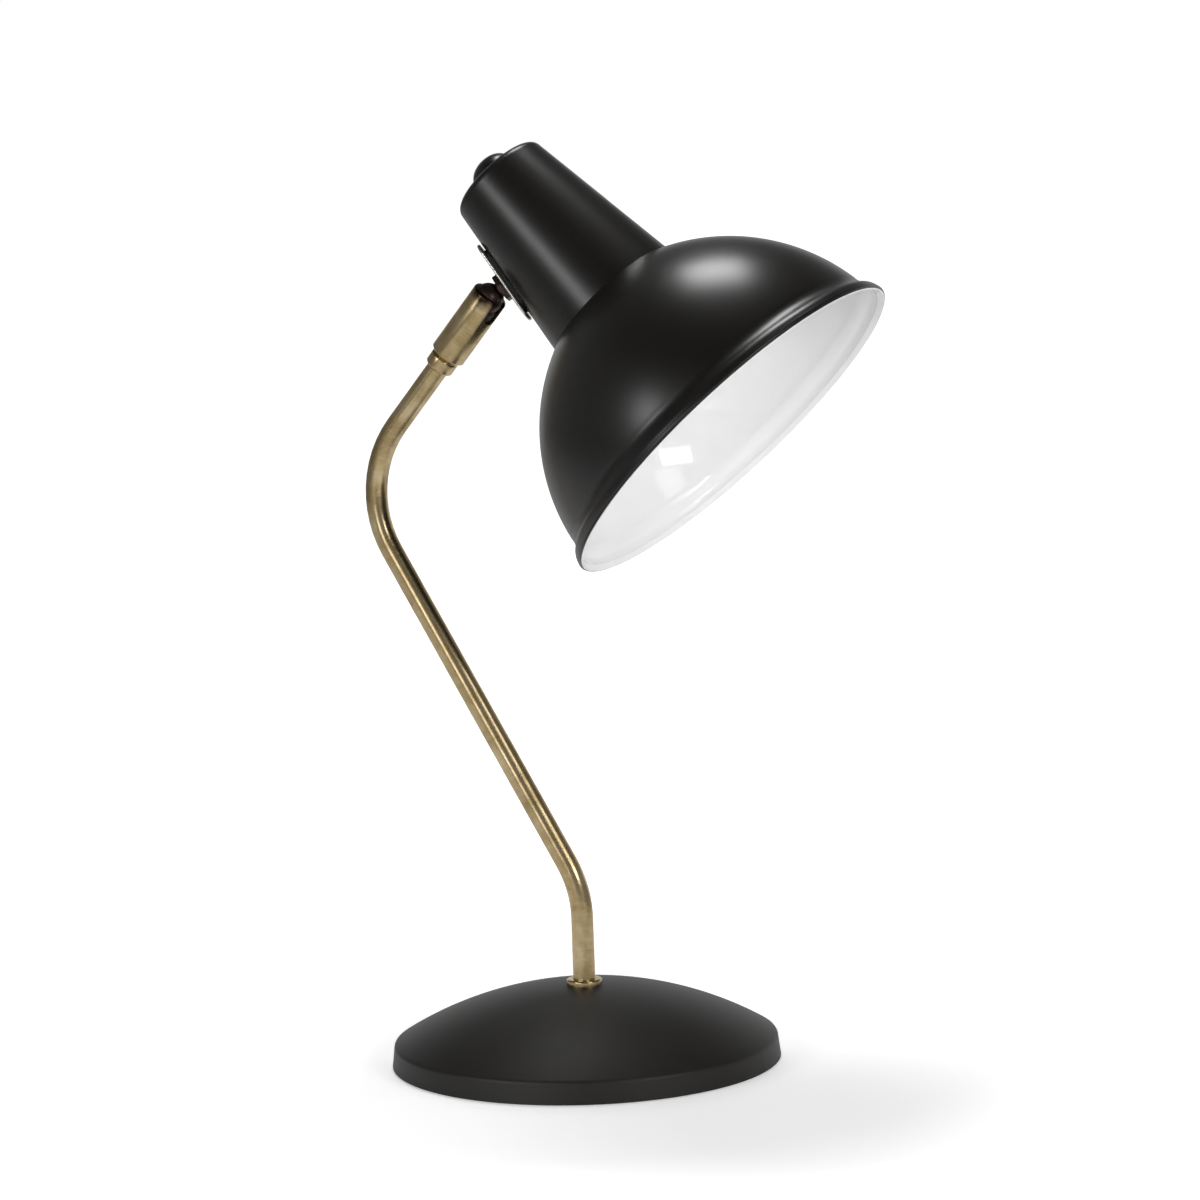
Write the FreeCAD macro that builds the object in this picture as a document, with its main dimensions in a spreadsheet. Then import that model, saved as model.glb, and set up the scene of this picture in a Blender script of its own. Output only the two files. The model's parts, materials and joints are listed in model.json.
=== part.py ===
"""Desk lamp with a weighted round base, a cranked brass stem, a slotted ball joint and a bowl shade.

Millimetres. The origin is the middle of the base where it meets the table, +Z is up, and +X is the
side that the shade leans out to. Three more frames carry the upper parts, and each is reached from
the one before it by named sizes:
  socket frame  origin at the stem's upper corner, Z along the stem's upper run
  neck frame    origin at the ball's centre, Z along the neck, from the ball to the cup
  head frame    origin at the middle of the shade's mouth, Z back along the head to the button
"""
import FreeCAD, Part
import math
import os
import re
import Sketcher
from collections import namedtuple

DRIVING_SIZES = {
    "base_radius": 88,
    "rim_lift": 0.5,
    "rim_height": 10.4,
    "rim_inset": 1.2,
    "rim_round": 2.4,
    "dome_radius": 165,
    "crown_height": 35,
    "crown_flat": 9.5,
    "cover_wall": 1.2,
    "pad_margin": 3.5,
    "pad_thickness": 2,
    "weight_margin": 8,
    "weight_slab": 9,
    "hub_foot_radius": 20,
    "recess_radius": 16,
    "recess_depth": 10,
    "channel_width": 8,
    "channel_depth": 6.5,
    "inlet_height": 5.4,
    "bushing_radius": 3.4,
    "bushing_bore": 2.8,
    "bushing_flange": 4.3,
    "bushing_flange_thick": 1.3,
    "bushing_length": 4.4,
    "bushing_round": 0.6,
    "seat_radius": 8.1,
    "seat_height": 2.6,
    "seat_round": 0.9,
    "tube_radius": 5,
    "tube_bore": 4,
    "tube_foot": 4,
    "stem_rise": 78.9,
    "lower_lean": 30.57,
    "lower_run": 211.1,
    "upper_lean": 40.05,
    "bend_radius": 50,
    "foot_washer_radius": 11,
    "foot_washer_thick": 1.5,
    "lock_washer_radius": 8.6,
    "lock_washer_thick": 1,
    "lock_washer_slit": 1.4,
    "foot_nut_across": 14,
    "foot_nut_thick": 3.5,
    "collar_radius": 6.7,
    "collar_length": 6.9,
    "collar_bevel": 1,
    "socket_start": 76.9,
    "socket_radius": 8.25,
    "socket_floor_thick": 11.1,
    "socket_rise": 2.45,
    "socket_bevel": 1.3,
    "socket_round": 1.2,
    "slot_turn": 15,
    "slot_half_width": 3.9,
    "slot_depth": 8.85,
    "pivot_nut_across": 11.4,
    "pivot_nut_thick": 3,
    "tube_reach": 0.7,
    "spring_washer_thick": 1,
    "spring_washer_bore": 3.4,
    "spring_wire": 1,
    "spring_radius": 5.2,
    "spring_turns": 4,
    "seat_cup_depth": 10.2,
    "seat_cup_drop": 3.3,
    "seat_cup_side": 4.6,
    "seat_cup_bore": 2.6,
    "ball_radius": 7,
    "ball_place": 110.75,
    "neck_bore": 2.3,
    "spigot_radius": 3,
    "spigot_depth": 0.9,
    "neck_radius": 3.6,
    "neck_reach": 0.9,
    "lock_nut_across": 12,
    "lock_nut_thick": 2.5,
    "strap_length": 42,
    "strap_width": 14,
    "strap_thick": 1.6,
    "strap_shift": 1.5,
    "ball_to_cup": 11.35,
    "saddle_thick": 0.6,
    "saddle_length": 34,
    "saddle_width": 12.6,
    "screw_spacing": 29,
    "screw_radius": 1.5,
    "screw_head": 2.8,
    "leg_gap": 1.15,
    "leg_thick": 1.6,
    "leg_width": 14,
    "leg_length": 42,
    "neck_washer_radius": 7,
    "neck_washer_thick": 0.8,
    "neck_nut_across": 11,
    "neck_nut_thick": 3,
    "screw_nut_across": 5.5,
    "screw_nut_thick": 2.4,
    "head_tilt": 44.8,
    "head_turn": 20,
    "cup_taper": 7.74,
    "cup_mouth": 33.95,
    "cup_ledge": 0.49,
    "cup_length": 79.5,
    "cup_wall": 1,
    "cup_round": 3.9,
    "stud_place": 39.45,
    "mouth_step": 5.13,
    "bowl_radius": 92.15,
    "bowl_middle": 2.69,
    "bowl_offset": 5.82,
    "bowl_foot": 12.5,
    "flare_start": 6.3,
    "flare_step": 2.63,
    "flare_curve": 9,
    "lip_curve": 6,
    "bead_start": 2.2,
    "bead_curve": 1.4,
    "shade_wall": 1,
    "shade_inlet": 14.2,
    "foot_radius": 19,
    "foot_bore": 13.3,
    "holder_skirt": 13,
    "holder_shoulder": 15.5,
    "holder_tail": 11.5,
    "holder_bore": 7.9,
    "holder_depth": 22,
    "holder_end_thick": 6,
    "holder_lip": 1,
    "ring_radius": 19,
    "ring_height": 4,
    "ring_notch": 1.6,
    "ring_notches": 24,
    "shell_radius": 7.6,
    "shell_wall": 0.4,
    "tongue_radius": 3.2,
    "tongue_thick": 1.2,
    "tongue_post": 1.6,
    "terminal_radius": 2,
    "terminal_place": 7.4,
    "terminal_rise": 1.6,
    "bulb_radius": 22.5,
    "bulb_length": 77.2,
    "bulb_wall": 0.8,
    "bulb_neck": 6.6,
    "bulb_shoulder_share": 0.77,
    "bulb_neck_curve": 30,
    "cap_radius": 6.9,
    "cap_length": 19,
    "cap_wall": 0.3,
    "cap_rim": 0.6,
    "insulator_length": 2.4,
    "insulator_radius": 3.8,
    "tip_radius": 2.3,
    "tip_length": 1.6,
    "button_radius": 11,
    "button_reach": 9,
    "button_sink": 4,
    "button_dome": 14.8,
    "button_edge": 5.5,
    "button_shoulder_drop": 8.1,
    "button_shoulder_curve": 8.8,
    "button_stroke": 3,
    "button_post": 2.2,
    "guide_flange": 15,
    "guide_flange_thick": 2.5,
    "guide_radius": 12.9,
    "guide_length": 24,
    "guide_floor_thick": 7,
    "return_wire": 0.8,
    "return_radius": 5,
    "return_turns": 5,
    "loose_fit": 0.3,
    "running_fit": 0.06,
    "end_gap": 0.1,
    "overrun": 5,
}

# Sizes that follow from the driving ones, which expressions name in the same way. The shade's back
# lies where the bowl has narrowed to the cup, and its flare and mouth start from the bowl's foot.
WORKED_OUT = {
    "pad_radius": "(base_radius - pad_margin)",
    "weight_radius": "(base_radius - weight_margin)",
    "cup_start": "(sqrt(bowl_radius ^ 2 - (cup_mouth + cup_ledge + bowl_offset) ^ 2) - bowl_middle)",
    "stud_station": "(cup_start + stud_place)",
    "bowl_foot_radius": "(sqrt(bowl_radius ^ 2 - (bowl_foot + bowl_middle) ^ 2) - bowl_offset)",
    "flare_radius": "(bowl_foot_radius + flare_step)",
    "shade_mouth": "(bowl_foot_radius + mouth_step)",
}

DOC = FreeCAD.newDocument("DeskLamp")
SIZES = DOC.addObject("Spreadsheet::Sheet", "Sizes")
for row, (alias, size) in enumerate(DRIVING_SIZES.items(), start=1):
    SIZES.set("A%d" % row, alias)
    SIZES.set("B%d" % row, str(size))
    SIZES.setAlias("B%d" % row, alias)
DOC.recompute()

WORD = re.compile(r"[a-z_]+")
PARTS = []


def resolve(found):
    """What a word stands for: a driving size's cell, a worked out size's expression, or itself."""
    word = found.group()
    if word in WORKED_OUT:
        return bound(WORKED_OUT[word])
    return "Sizes." + word if word in DRIVING_SIZES else word


def bound(text):
    """The expression with every size's name pointing at its cell."""
    return WORD.sub(resolve, text)


def number(text):
    """The expression's value now."""
    value = SIZES.evalExpression(bound(text))
    return float(getattr(value, "Value", value))


def bind(item, **sizes):
    """Set properties of an object from expressions; two underscores stand for a dot."""
    for name, text in sizes.items():
        item.setExpression(name.replace("__", "."), bound(text))


ZERO = "0 * tube_radius"

# Heights and distances that several pieces share, as expressions of the driving sizes
SOCKET_X = "(0 - lower_run * sin(lower_lean))"
SOCKET_Z = "(stem_rise + lower_run * cos(lower_lean))"
BALL_X = "(%s + ball_place * sin(upper_lean))" % SOCKET_X
BALL_Z = "(%s + ball_place * cos(upper_lean))" % SOCKET_Z
STUD_RADIUS = "(cup_mouth - (stud_station - cup_start) * tan(cup_taper))"
BALL_ACROSS = "(0 - %s - ball_to_cup * cos(cup_taper))" % STUD_RADIUS
BALL_BACK = "(stud_station + ball_to_cup * sin(cup_taper))"
RECESS_ROOF = "(pad_thickness + recess_depth)"
SOCKET_FLOOR = "(socket_start + socket_floor_thick)"
SOCKET_END = "(ball_place + socket_rise)"
SLOT_BOTTOM = "(ball_place - slot_depth)"
PIVOT_NUT_START = "(%s + loose_fit)" % SOCKET_FLOOR
TUBE_END = "(%s + pivot_nut_thick + tube_reach)" % PIVOT_NUT_START
WASHER_START = "(%s + loose_fit)" % TUBE_END
BALL_SEAT = "(ball_radius + running_fit)"
CUP_END = "(cup_start + cup_length)"
CUP_END_RADIUS = "(cup_mouth - cup_length * tan(cup_taper))"
CUP_WALL_ACROSS = "(cup_wall / cos(cup_taper))"
STRAP_PLACE = "(ball_to_cup - saddle_thick - strap_thick)"
LEG_OUTER = "(ball_to_cup + cup_wall + leg_gap)"
LEG_INNER = "(ball_to_cup + cup_wall + leg_gap + leg_thick)"
NECK_NUT_START = "(%s + neck_washer_thick)" % LEG_INNER
RING_FRONT = "(cup_start - shade_wall - ring_height)"
HOLDER_FRONT = "(%s - holder_lip)" % RING_FRONT
HOLDER_FLOOR = "(cup_start + holder_depth)"
HOLDER_BACK = "(%s + holder_end_thick)" % HOLDER_FLOOR
TIP_BACK = "(%s - tongue_thick - end_gap)" % HOLDER_FLOOR
INSULATOR_BACK = "(%s - tip_length)" % TIP_BACK
CAP_BACK = "(%s - insulator_length)" % INSULATOR_BACK
CAP_FRONT = "(%s - cap_length)" % CAP_BACK
BULB_TIP = "(%s - bulb_length)" % TIP_BACK
GUIDE_BACK = "(%s - guide_length)" % CUP_END
GUIDE_FLOOR = "(%s + guide_floor_thick)" % GUIDE_BACK


def move(x, z):
    """An expression for a shift within a frame."""
    return "placement(vector(%s; 0; %s); rotation(vector(0; 1; 0); 0))" % (x, z)


def turn(axis, angle):
    """An expression for a turn within a frame."""
    return "placement(vector(0; 0; 0); rotation(vector(%s); %s))" % (axis, angle)


# The lamp's frames, each an expression for a placement. The head hangs on the ball, so its frame is
# reached from the ball's centre: tilted, turned about its own length, then shifted.
BASE = move(ZERO, ZERO)
STEM_TOP = "%s * %s" % (move(SOCKET_X, SOCKET_Z), turn("0; 1; 0", "upper_lean"))
SOCKET = "%s * %s" % (STEM_TOP, turn("0; 0; 1", "0 - slot_turn"))
BALL = "%s * %s * %s" % (move(BALL_X, BALL_Z), turn("0; 1; 0", "0 - head_tilt"), turn("0; 0; 1", "head_turn"))
HEAD = "%s * %s" % (BALL, move("0 - %s" % BALL_ACROSS, "0 - %s" % BALL_BACK))
NECK = "%s * %s" % (BALL, turn("0; 1; 0", "90 + cup_taper"))

# The neck's own frame as it lies in the head
NECK_IN_HEAD = "%s * %s" % (move(BALL_ACROSS, BALL_BACK), turn("0; 1; 0", "90 + cup_taper"))


def place(item, frame):
    """Stand an object in one of the lamp's frames."""
    bind(item, Placement=frame)


def hand_in(item, label, frame):
    """Name a finished piece, place it and list it for export."""
    item.Label = label
    place(item, frame)
    PARTS.append(item)
    return item


# Which point of a sketch's geometry a constraint holds, and the sketch's own origin
START, END, CENTRE = range(1, 4)
ORIGIN = (-1, START)

# Corner of an outline: its place, a rounding there, or an arc's radius from here to the next corner.
# An arc with side +1 has its centre to the left of the way round, and -1 to the right.
Corner = namedtuple("Corner", "x y rounding arc side", defaults=(None, None, 1))


class Outline:
    """One closed or open outline in a sketch, with every size bound to the sheet."""

    def __init__(self, sketch, corners, closed=True):
        self.sketch = sketch
        self.corners = corners
        self.points = [FreeCAD.Vector(number(c.x), number(c.y), 0) for c in corners]
        self.spans = len(corners) if closed else len(corners) - 1
        self.starts = [(None, None)] * len(corners)
        self.ends = [(None, None)] * len(corners)
        for index in range(self.spans):
            self.add_span(index)
        for index, corner in enumerate(corners):
            if closed or 0 < index < len(corners) - 1:
                self.join(index, corner)
            else:
                self.pin(index, *(self.starts[index] if index == 0 else self.ends[index]))

    def constrain(self, kind, *where):
        """Add a constraint, bound to an expression if its last item is text."""
        if isinstance(where[-1], str):
            index = self.sketch.addConstraint(Sketcher.Constraint(kind, *where[:-1], number(where[-1])))
            self.sketch.setExpression("Constraints[%d]" % index, bound(where[-1]))
        else:
            self.sketch.addConstraint(Sketcher.Constraint(kind, *where))

    def cut_back(self, index, other):
        """Where a span starts at a rounded corner: the rounding's tangent point towards the other corner."""
        here = self.points[index]
        radius = self.corners[index].rounding
        if not radius:
            return here
        ahead = (self.points[(index + 1) % len(self.points)] - here).normalize()
        behind = (self.points[index - 1] - here).normalize()
        half = ahead.getAngle(behind) / 2
        reach = number(radius) / math.tan(half)
        return here + (self.points[other] - here).normalize() * reach

    def add_span(self, index):
        """The line or arc from one corner to the next."""
        after = (index + 1) % len(self.points)
        start, end = self.cut_back(index, after), self.cut_back(after, index)
        corner = self.corners[index]
        if corner.arc:
            arc = _arc_between(start, end, number(corner.arc), corner.side)
            geometry = self.sketch.addGeometry(arc)
            forward = (arc.StartPoint - start).Length < (arc.EndPoint - start).Length
            self.starts[index] = (geometry, START if forward else END)
            self.ends[after] = (geometry, END if forward else START)
            self.constrain("Radius", geometry, corner.arc)
        else:
            geometry = self.sketch.addGeometry(Part.LineSegment(start, end))
            self.starts[index] = (geometry, START)
            self.ends[after] = (geometry, END)

    def pin(self, index, geometry, end):
        """Hold a point at its corner's place."""
        self.constrain("DistanceX", *ORIGIN, geometry, end, self.corners[index].x)
        self.constrain("DistanceY", *ORIGIN, geometry, end, self.corners[index].y)

    def join(self, index, corner):
        """Join the spans that meet at a corner, with a tangent arc if it is rounded."""
        before, after = self.ends[index], self.starts[index]
        if not corner.rounding:
            self.constrain("Coincident", *before, *after)
            self.pin(index, *after)
            return
        start = self.cut_back(index, index - 1)
        end = self.cut_back(index, (index + 1) % len(self.points))
        here = self.points[index]
        turn = (here - start).cross(end - here).z
        arc = _arc_between(start, end, number(corner.rounding), 1 if turn > 0 else -1)
        geometry = self.sketch.addGeometry(arc)
        first, last = (START, END) if turn > 0 else (END, START)
        mark = self.sketch.addGeometry(Part.Point(here), True)
        self.constrain("Tangent", *before, geometry, first)
        self.constrain("Tangent", geometry, last, *after)
        self.constrain("Radius", geometry, corner.rounding)
        self.constrain("PointOnObject", mark, START, before[0])
        self.constrain("PointOnObject", mark, START, after[0])
        self.pin(index, mark, START)


def _arc_between(start, end, radius, side):
    """The shorter arc of a radius from start to end, as sketch geometry."""
    chord = end - start
    across = FreeCAD.Vector(-chord.y, chord.x, 0).normalize() * side
    rise = max(radius * radius - chord.Length ** 2 / 4, 0) ** 0.5
    centre = (start + end) / 2 + across * rise
    middle = centre + ((start + end) / 2 - centre).normalize() * radius if rise else centre - across * radius
    whole = Part.Circle(centre, FreeCAD.Vector(0, 0, 1), radius)
    first, last = (start, end) if side > 0 else (end, start)
    return Part.ArcOfCircle(whole, whole.parameter(first), _unwound(whole, first, last))


def _unwound(whole, first, last):
    """The end angle of an arc that runs anticlockwise from first to last."""
    turn = whole.parameter(last) - whole.parameter(first)
    return whole.parameter(first) + turn % whole.LastParameter


def plane(body, role):
    """One of a body's own origin planes."""
    return [item for item in body.Origin.OriginFeatures if item.Role == role][0]


def new_body(name):
    """An empty body."""
    return DOC.addObject("PartDesign::Body", name)


def new_sketch(body, role, name, level=None):
    """An empty sketch on a body's origin plane, lifted off it by level."""
    sketch = body.newObject("Sketcher::SketchObject", name)
    sketch.AttachmentSupport = [(plane(body, role), "")]
    sketch.MapMode = "FlatFace"
    if level:
        bind(sketch, AttachmentOffset__Base__z=level)
    return sketch


def add_circle(sketch, x, y, radius):
    """A full circle in a sketch."""
    centre = FreeCAD.Vector(number(x), number(y), 0)
    circle = sketch.addGeometry(Part.Circle(centre, FreeCAD.Vector(0, 0, 1), number(radius)))
    centre_point = (*ORIGIN, circle, CENTRE)
    for kind, where, text in (("Radius", (circle,), radius), ("DistanceX", centre_point, x),
                              ("DistanceY", centre_point, y)):
        index = sketch.addConstraint(Sketcher.Constraint(kind, *where, number(text)))
        sketch.setExpression("Constraints[%d]" % index, bound(text))


def turned(name, corners):
    """A body turned about its Z axis from an outline of radius and height."""
    body = new_body(name)
    sketch = new_sketch(body, "XZ_Plane", name + "_outline")
    Outline(sketch, corners)
    turn = body.newObject("PartDesign::Revolution", name + "_turned")
    turn.Profile = sketch
    turn.ReferenceAxis = (sketch, ["V_Axis"])
    turn.Angle = 360
    DOC.recompute()
    return body


def ring(name, bore, radius, low, high):
    """A plain ring or, with no bore, a disc."""
    return turned(name, [Corner(bore, low), Corner(radius, low), Corner(radius, high), Corner(bore, high)])


def round_edges(body, radius, *edges):
    """Round the circular edges of a body that have the given radii and heights."""
    base = body.Tip
    names = []
    for edge_radius, height in edges:
        for index, edge in enumerate(base.Shape.Edges):
            curve = edge.Curve
            if isinstance(curve, Part.Circle):
                near = abs(curve.Radius - number(edge_radius)) + abs(curve.Center.z - number(height))
                if near < number("running_fit") / 4 and "Edge%d" % (index + 1) not in names:
                    names.append("Edge%d" % (index + 1))
    if len(names) < len(edges):
        raise RuntimeError("%s: found %d of %d edges to round" % (body.Name, len(names), len(edges)))
    fillet = body.newObject("PartDesign::Fillet", body.Name + "_rounded")
    fillet.Base = (base, names)
    bind(fillet, Radius=radius)
    DOC.recompute()
    return body


def cut_sketch(body, sketch, length, both=False, reverse=False):
    """Pocket a sketch into a body, and make sure that it took something away."""
    before = body.Shape.Volume
    pocket = body.newObject("PartDesign::Pocket", sketch.Name + "_cut")
    pocket.Profile = sketch
    pocket.SideType = "Symmetric" if both else "One side"
    pocket.Reversed = reverse
    bind(pocket, Length=length)
    DOC.recompute()
    if not body.Shape.Volume < before:
        raise RuntimeError(sketch.Name + " cuts nothing")
    return body


def pad_sketch(body, sketch, length, both=False):
    """Pad a sketch upwards from its plane, or equally both ways."""
    pad = body.newObject("PartDesign::Pad", sketch.Name + "_pad")
    pad.Profile = sketch
    pad.SideType = "Symmetric" if both else "One side"
    bind(pad, Length=length)
    DOC.recompute()
    return body


def hex_nut(name, across, bore, low, thick):
    """A six-sided nut with a plain bore."""
    body = new_body(name)
    sketch = new_sketch(body, "XY_Plane", name + "_flats", low)
    corner = "(%s / 2 / cos(30))" % across
    half = "(%s / 2)" % across
    step = "(%s / 2 * tan(30))" % across
    back = "(0 - %s)" % half
    side = "(0 - %s)" % step
    tip = "(0 - %s)" % corner
    flats = [(half, side), (half, step), (ZERO, corner), (back, step), (back, side), (ZERO, tip)]
    Outline(sketch, [Corner(x, y) for x, y in flats])
    add_circle(sketch, ZERO, ZERO, bore)
    return pad_sketch(body, sketch, thick)


def cylinder(name, radius, low, length, frame, along=ZERO):
    """A plain round tool, standing in a frame at a distance along the frame's X axis."""
    rod = DOC.addObject("Part::Cylinder", name)
    bind(rod, Radius=radius, Height=length)
    place(rod, "%s * %s" % (frame, move(along, low)))
    return rod


def cut(name, base, *tools):
    """A solid with other solids taken out of it."""
    result = base
    for index, tool in enumerate(tools):
        step = DOC.addObject("Part::Cut", "%s_%d" % (name, index))
        step.Base = result
        step.Tool = tool
        result = step
    return result


def stud_tool(name, radius, along=ZERO):
    """A round tool through the cup's side, seen from the head frame."""
    return cylinder(name, radius, "ball_to_cup - overrun", "overrun + overrun", NECK_IN_HEAD, along)


def base_group():
    """Cover, ballast, pad, inlet bushing and what clamps the stem's foot."""
    inner_crown = "(crown_height - cover_wall)"
    wall_top = "(base_radius - rim_inset)"
    cover = turned("cover_shell", [
        Corner("tube_radius + loose_fit", "crown_height"),
        Corner("crown_flat", "crown_height", arc="dome_radius", side=-1),
        Corner(wall_top, "rim_height"),
        Corner("base_radius", "rim_lift"),
        Corner("base_radius - cover_wall", "rim_lift"),
        Corner("%s - cover_wall" % wall_top, "rim_height - cover_wall", arc="dome_radius - cover_wall"),
        Corner("crown_flat", inner_crown),
        Corner("tube_radius + loose_fit", inner_crown)])
    round_edges(cover, "rim_round", (wall_top, "rim_height"))
    slope = "atan(rim_inset / (rim_height - rim_lift))"
    wall_face = "(base_radius - rim_inset * (inlet_height - rim_lift) / (rim_height - rim_lift))"
    inlet = "%s * %s" % (move("0 - %s" % wall_face, "inlet_height"), turn("0; 1; 0", "%s - 90 deg" % slope))
    hole = cylinder("inlet_hole", "bushing_radius + end_gap", "0 - overrun", "overrun + overrun", inlet)
    hand_in(cut("cover_with_inlet", cover, hole), "base_cover", BASE)

    weight = turned("weight_slab_body", [
        Corner("tube_radius + loose_fit", RECESS_ROOF),
        Corner("tube_radius + loose_fit", inner_crown),
        Corner("crown_flat", inner_crown),
        Corner("hub_foot_radius", "pad_thickness + weight_slab"),
        Corner("weight_radius", "pad_thickness + weight_slab"),
        Corner("weight_radius", "pad_thickness"),
        Corner("recess_radius", "pad_thickness"),
        Corner("recess_radius", RECESS_ROOF)])
    sketch = new_sketch(weight, "XY_Plane", "cord_channel", "pad_thickness")
    half = "(channel_width / 2)"
    Outline(sketch, [
        Corner("0 - weight_radius - overrun", "0 - %s" % half),
        Corner("0 - recess_radius / 2", "0 - %s" % half),
        Corner("0 - recess_radius / 2", half),
        Corner("0 - weight_radius - overrun", half)])
    cut_sketch(weight, sketch, "channel_depth", reverse=True)
    hand_in(weight, "base_weight", BASE)

    hand_in(ring("bottom_pad_body", ZERO, "pad_radius", ZERO, "pad_thickness"), "bottom_pad", BASE)

    bushing = turned("bushing_body", [
        Corner("bushing_bore", "bushing_flange_thick - bushing_length"),
        Corner("bushing_radius", "bushing_flange_thick - bushing_length"),
        Corner("bushing_radius", "end_gap"),
        Corner("bushing_flange", "end_gap"),
        Corner("bushing_flange", "bushing_flange_thick", rounding="bushing_round"),
        Corner("bushing_bore", "bushing_flange_thick")])
    hand_in(bushing, "cord_bushing", inlet)

    seat_top = "(crown_height + seat_height)"
    seat = ring("seat_body", "tube_radius", "seat_radius", "crown_height", seat_top)
    hand_in(round_edges(seat, "seat_round", ("seat_radius", seat_top)), "seat_ring", BASE)


def stem_group():
    """The cranked tube and the washers and nut on its foot."""
    tube = new_body("stem")
    path = new_sketch(tube, "XZ_Plane", "stem_path")
    end_x = "%s + %s * sin(upper_lean)" % (SOCKET_X, TUBE_END)
    end_z = "%s + %s * cos(upper_lean)" % (SOCKET_Z, TUBE_END)
    Outline(path, [
        Corner(ZERO, "tube_foot"),
        Corner(ZERO, "stem_rise", rounding="bend_radius"),
        Corner(SOCKET_X, SOCKET_Z, rounding="bend_radius"),
        Corner(end_x, end_z)], closed=False)
    section = new_sketch(tube, "XY_Plane", "stem_section", "tube_foot")
    add_circle(section, ZERO, ZERO, "tube_radius")
    add_circle(section, ZERO, ZERO, "tube_bore")
    DOC.recompute()
    pipe = tube.newObject("PartDesign::AdditivePipe", "stem_pipe")
    pipe.Profile = section
    pipe.Spine = path
    pipe.Mode = "Frenet"
    DOC.recompute()
    hand_in(tube, "stem_tube", BASE)

    washer_low = "(%s - foot_washer_thick)" % RECESS_ROOF
    lock_low = "(%s - lock_washer_thick)" % washer_low
    bore = "(tube_radius + end_gap)"
    washer = ring("foot_washer_body", bore, "foot_washer_radius", washer_low, RECESS_ROOF)
    hand_in(washer, "foot_washer", BASE)
    lock = ring("lock_washer_body", bore, "lock_washer_radius", lock_low, washer_low)
    slit = new_sketch(lock, "XY_Plane", "lock_slit", washer_low)
    half = "(lock_washer_slit / 2)"
    Outline(slit, [
        Corner(ZERO, "0 - %s" % half),
        Corner("lock_washer_radius + overrun", "0 - %s" % half),
        Corner("lock_washer_radius + overrun", half),
        Corner(ZERO, half)])
    hand_in(cut_sketch(lock, slit, "lock_washer_thick + overrun", both=True), "lock_washer", BASE)
    nut_low = "(%s - foot_nut_thick)" % lock_low
    nut = hex_nut("foot_nut_body", "foot_nut_across", bore, nut_low, "foot_nut_thick")
    hand_in(nut, "foot_nut", BASE)

    collar_top = "(socket_start - loose_fit)"
    collar_foot = "(%s - collar_length)" % collar_top
    collar = turned("collar_body", [
        Corner("tube_radius", collar_foot),
        Corner("collar_radius - collar_bevel", collar_foot),
        Corner("collar_radius", "%s + collar_bevel" % collar_foot),
        Corner("collar_radius", collar_top),
        Corner("tube_radius", collar_top)])
    hand_in(collar, "collar_ring", STEM_TOP)
    pivot = hex_nut("pivot_nut_body", "pivot_nut_across", "tube_radius", PIVOT_NUT_START, "pivot_nut_thick")
    hand_in(pivot, "pivot_nut", STEM_TOP)


def coil(name, radius, wire, low, high, turns):
    """A round-wire spring between two heights, wire included."""
    body = new_body(name)
    sketch = new_sketch(body, "XZ_Plane", name + "_wire")
    add_circle(sketch, radius, "%s + %s / 2" % (low, wire), "%s / 2" % wire)
    helix = body.newObject("PartDesign::AdditiveHelix", name + "_helix")
    helix.Profile = sketch
    helix.ReferenceAxis = (sketch, ["V_Axis"])
    helix.Mode = "height-turns-angle"
    bind(helix, Height="%s - %s - %s" % (high, low, wire), Turns=turns)
    DOC.recompute()
    return body


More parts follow.
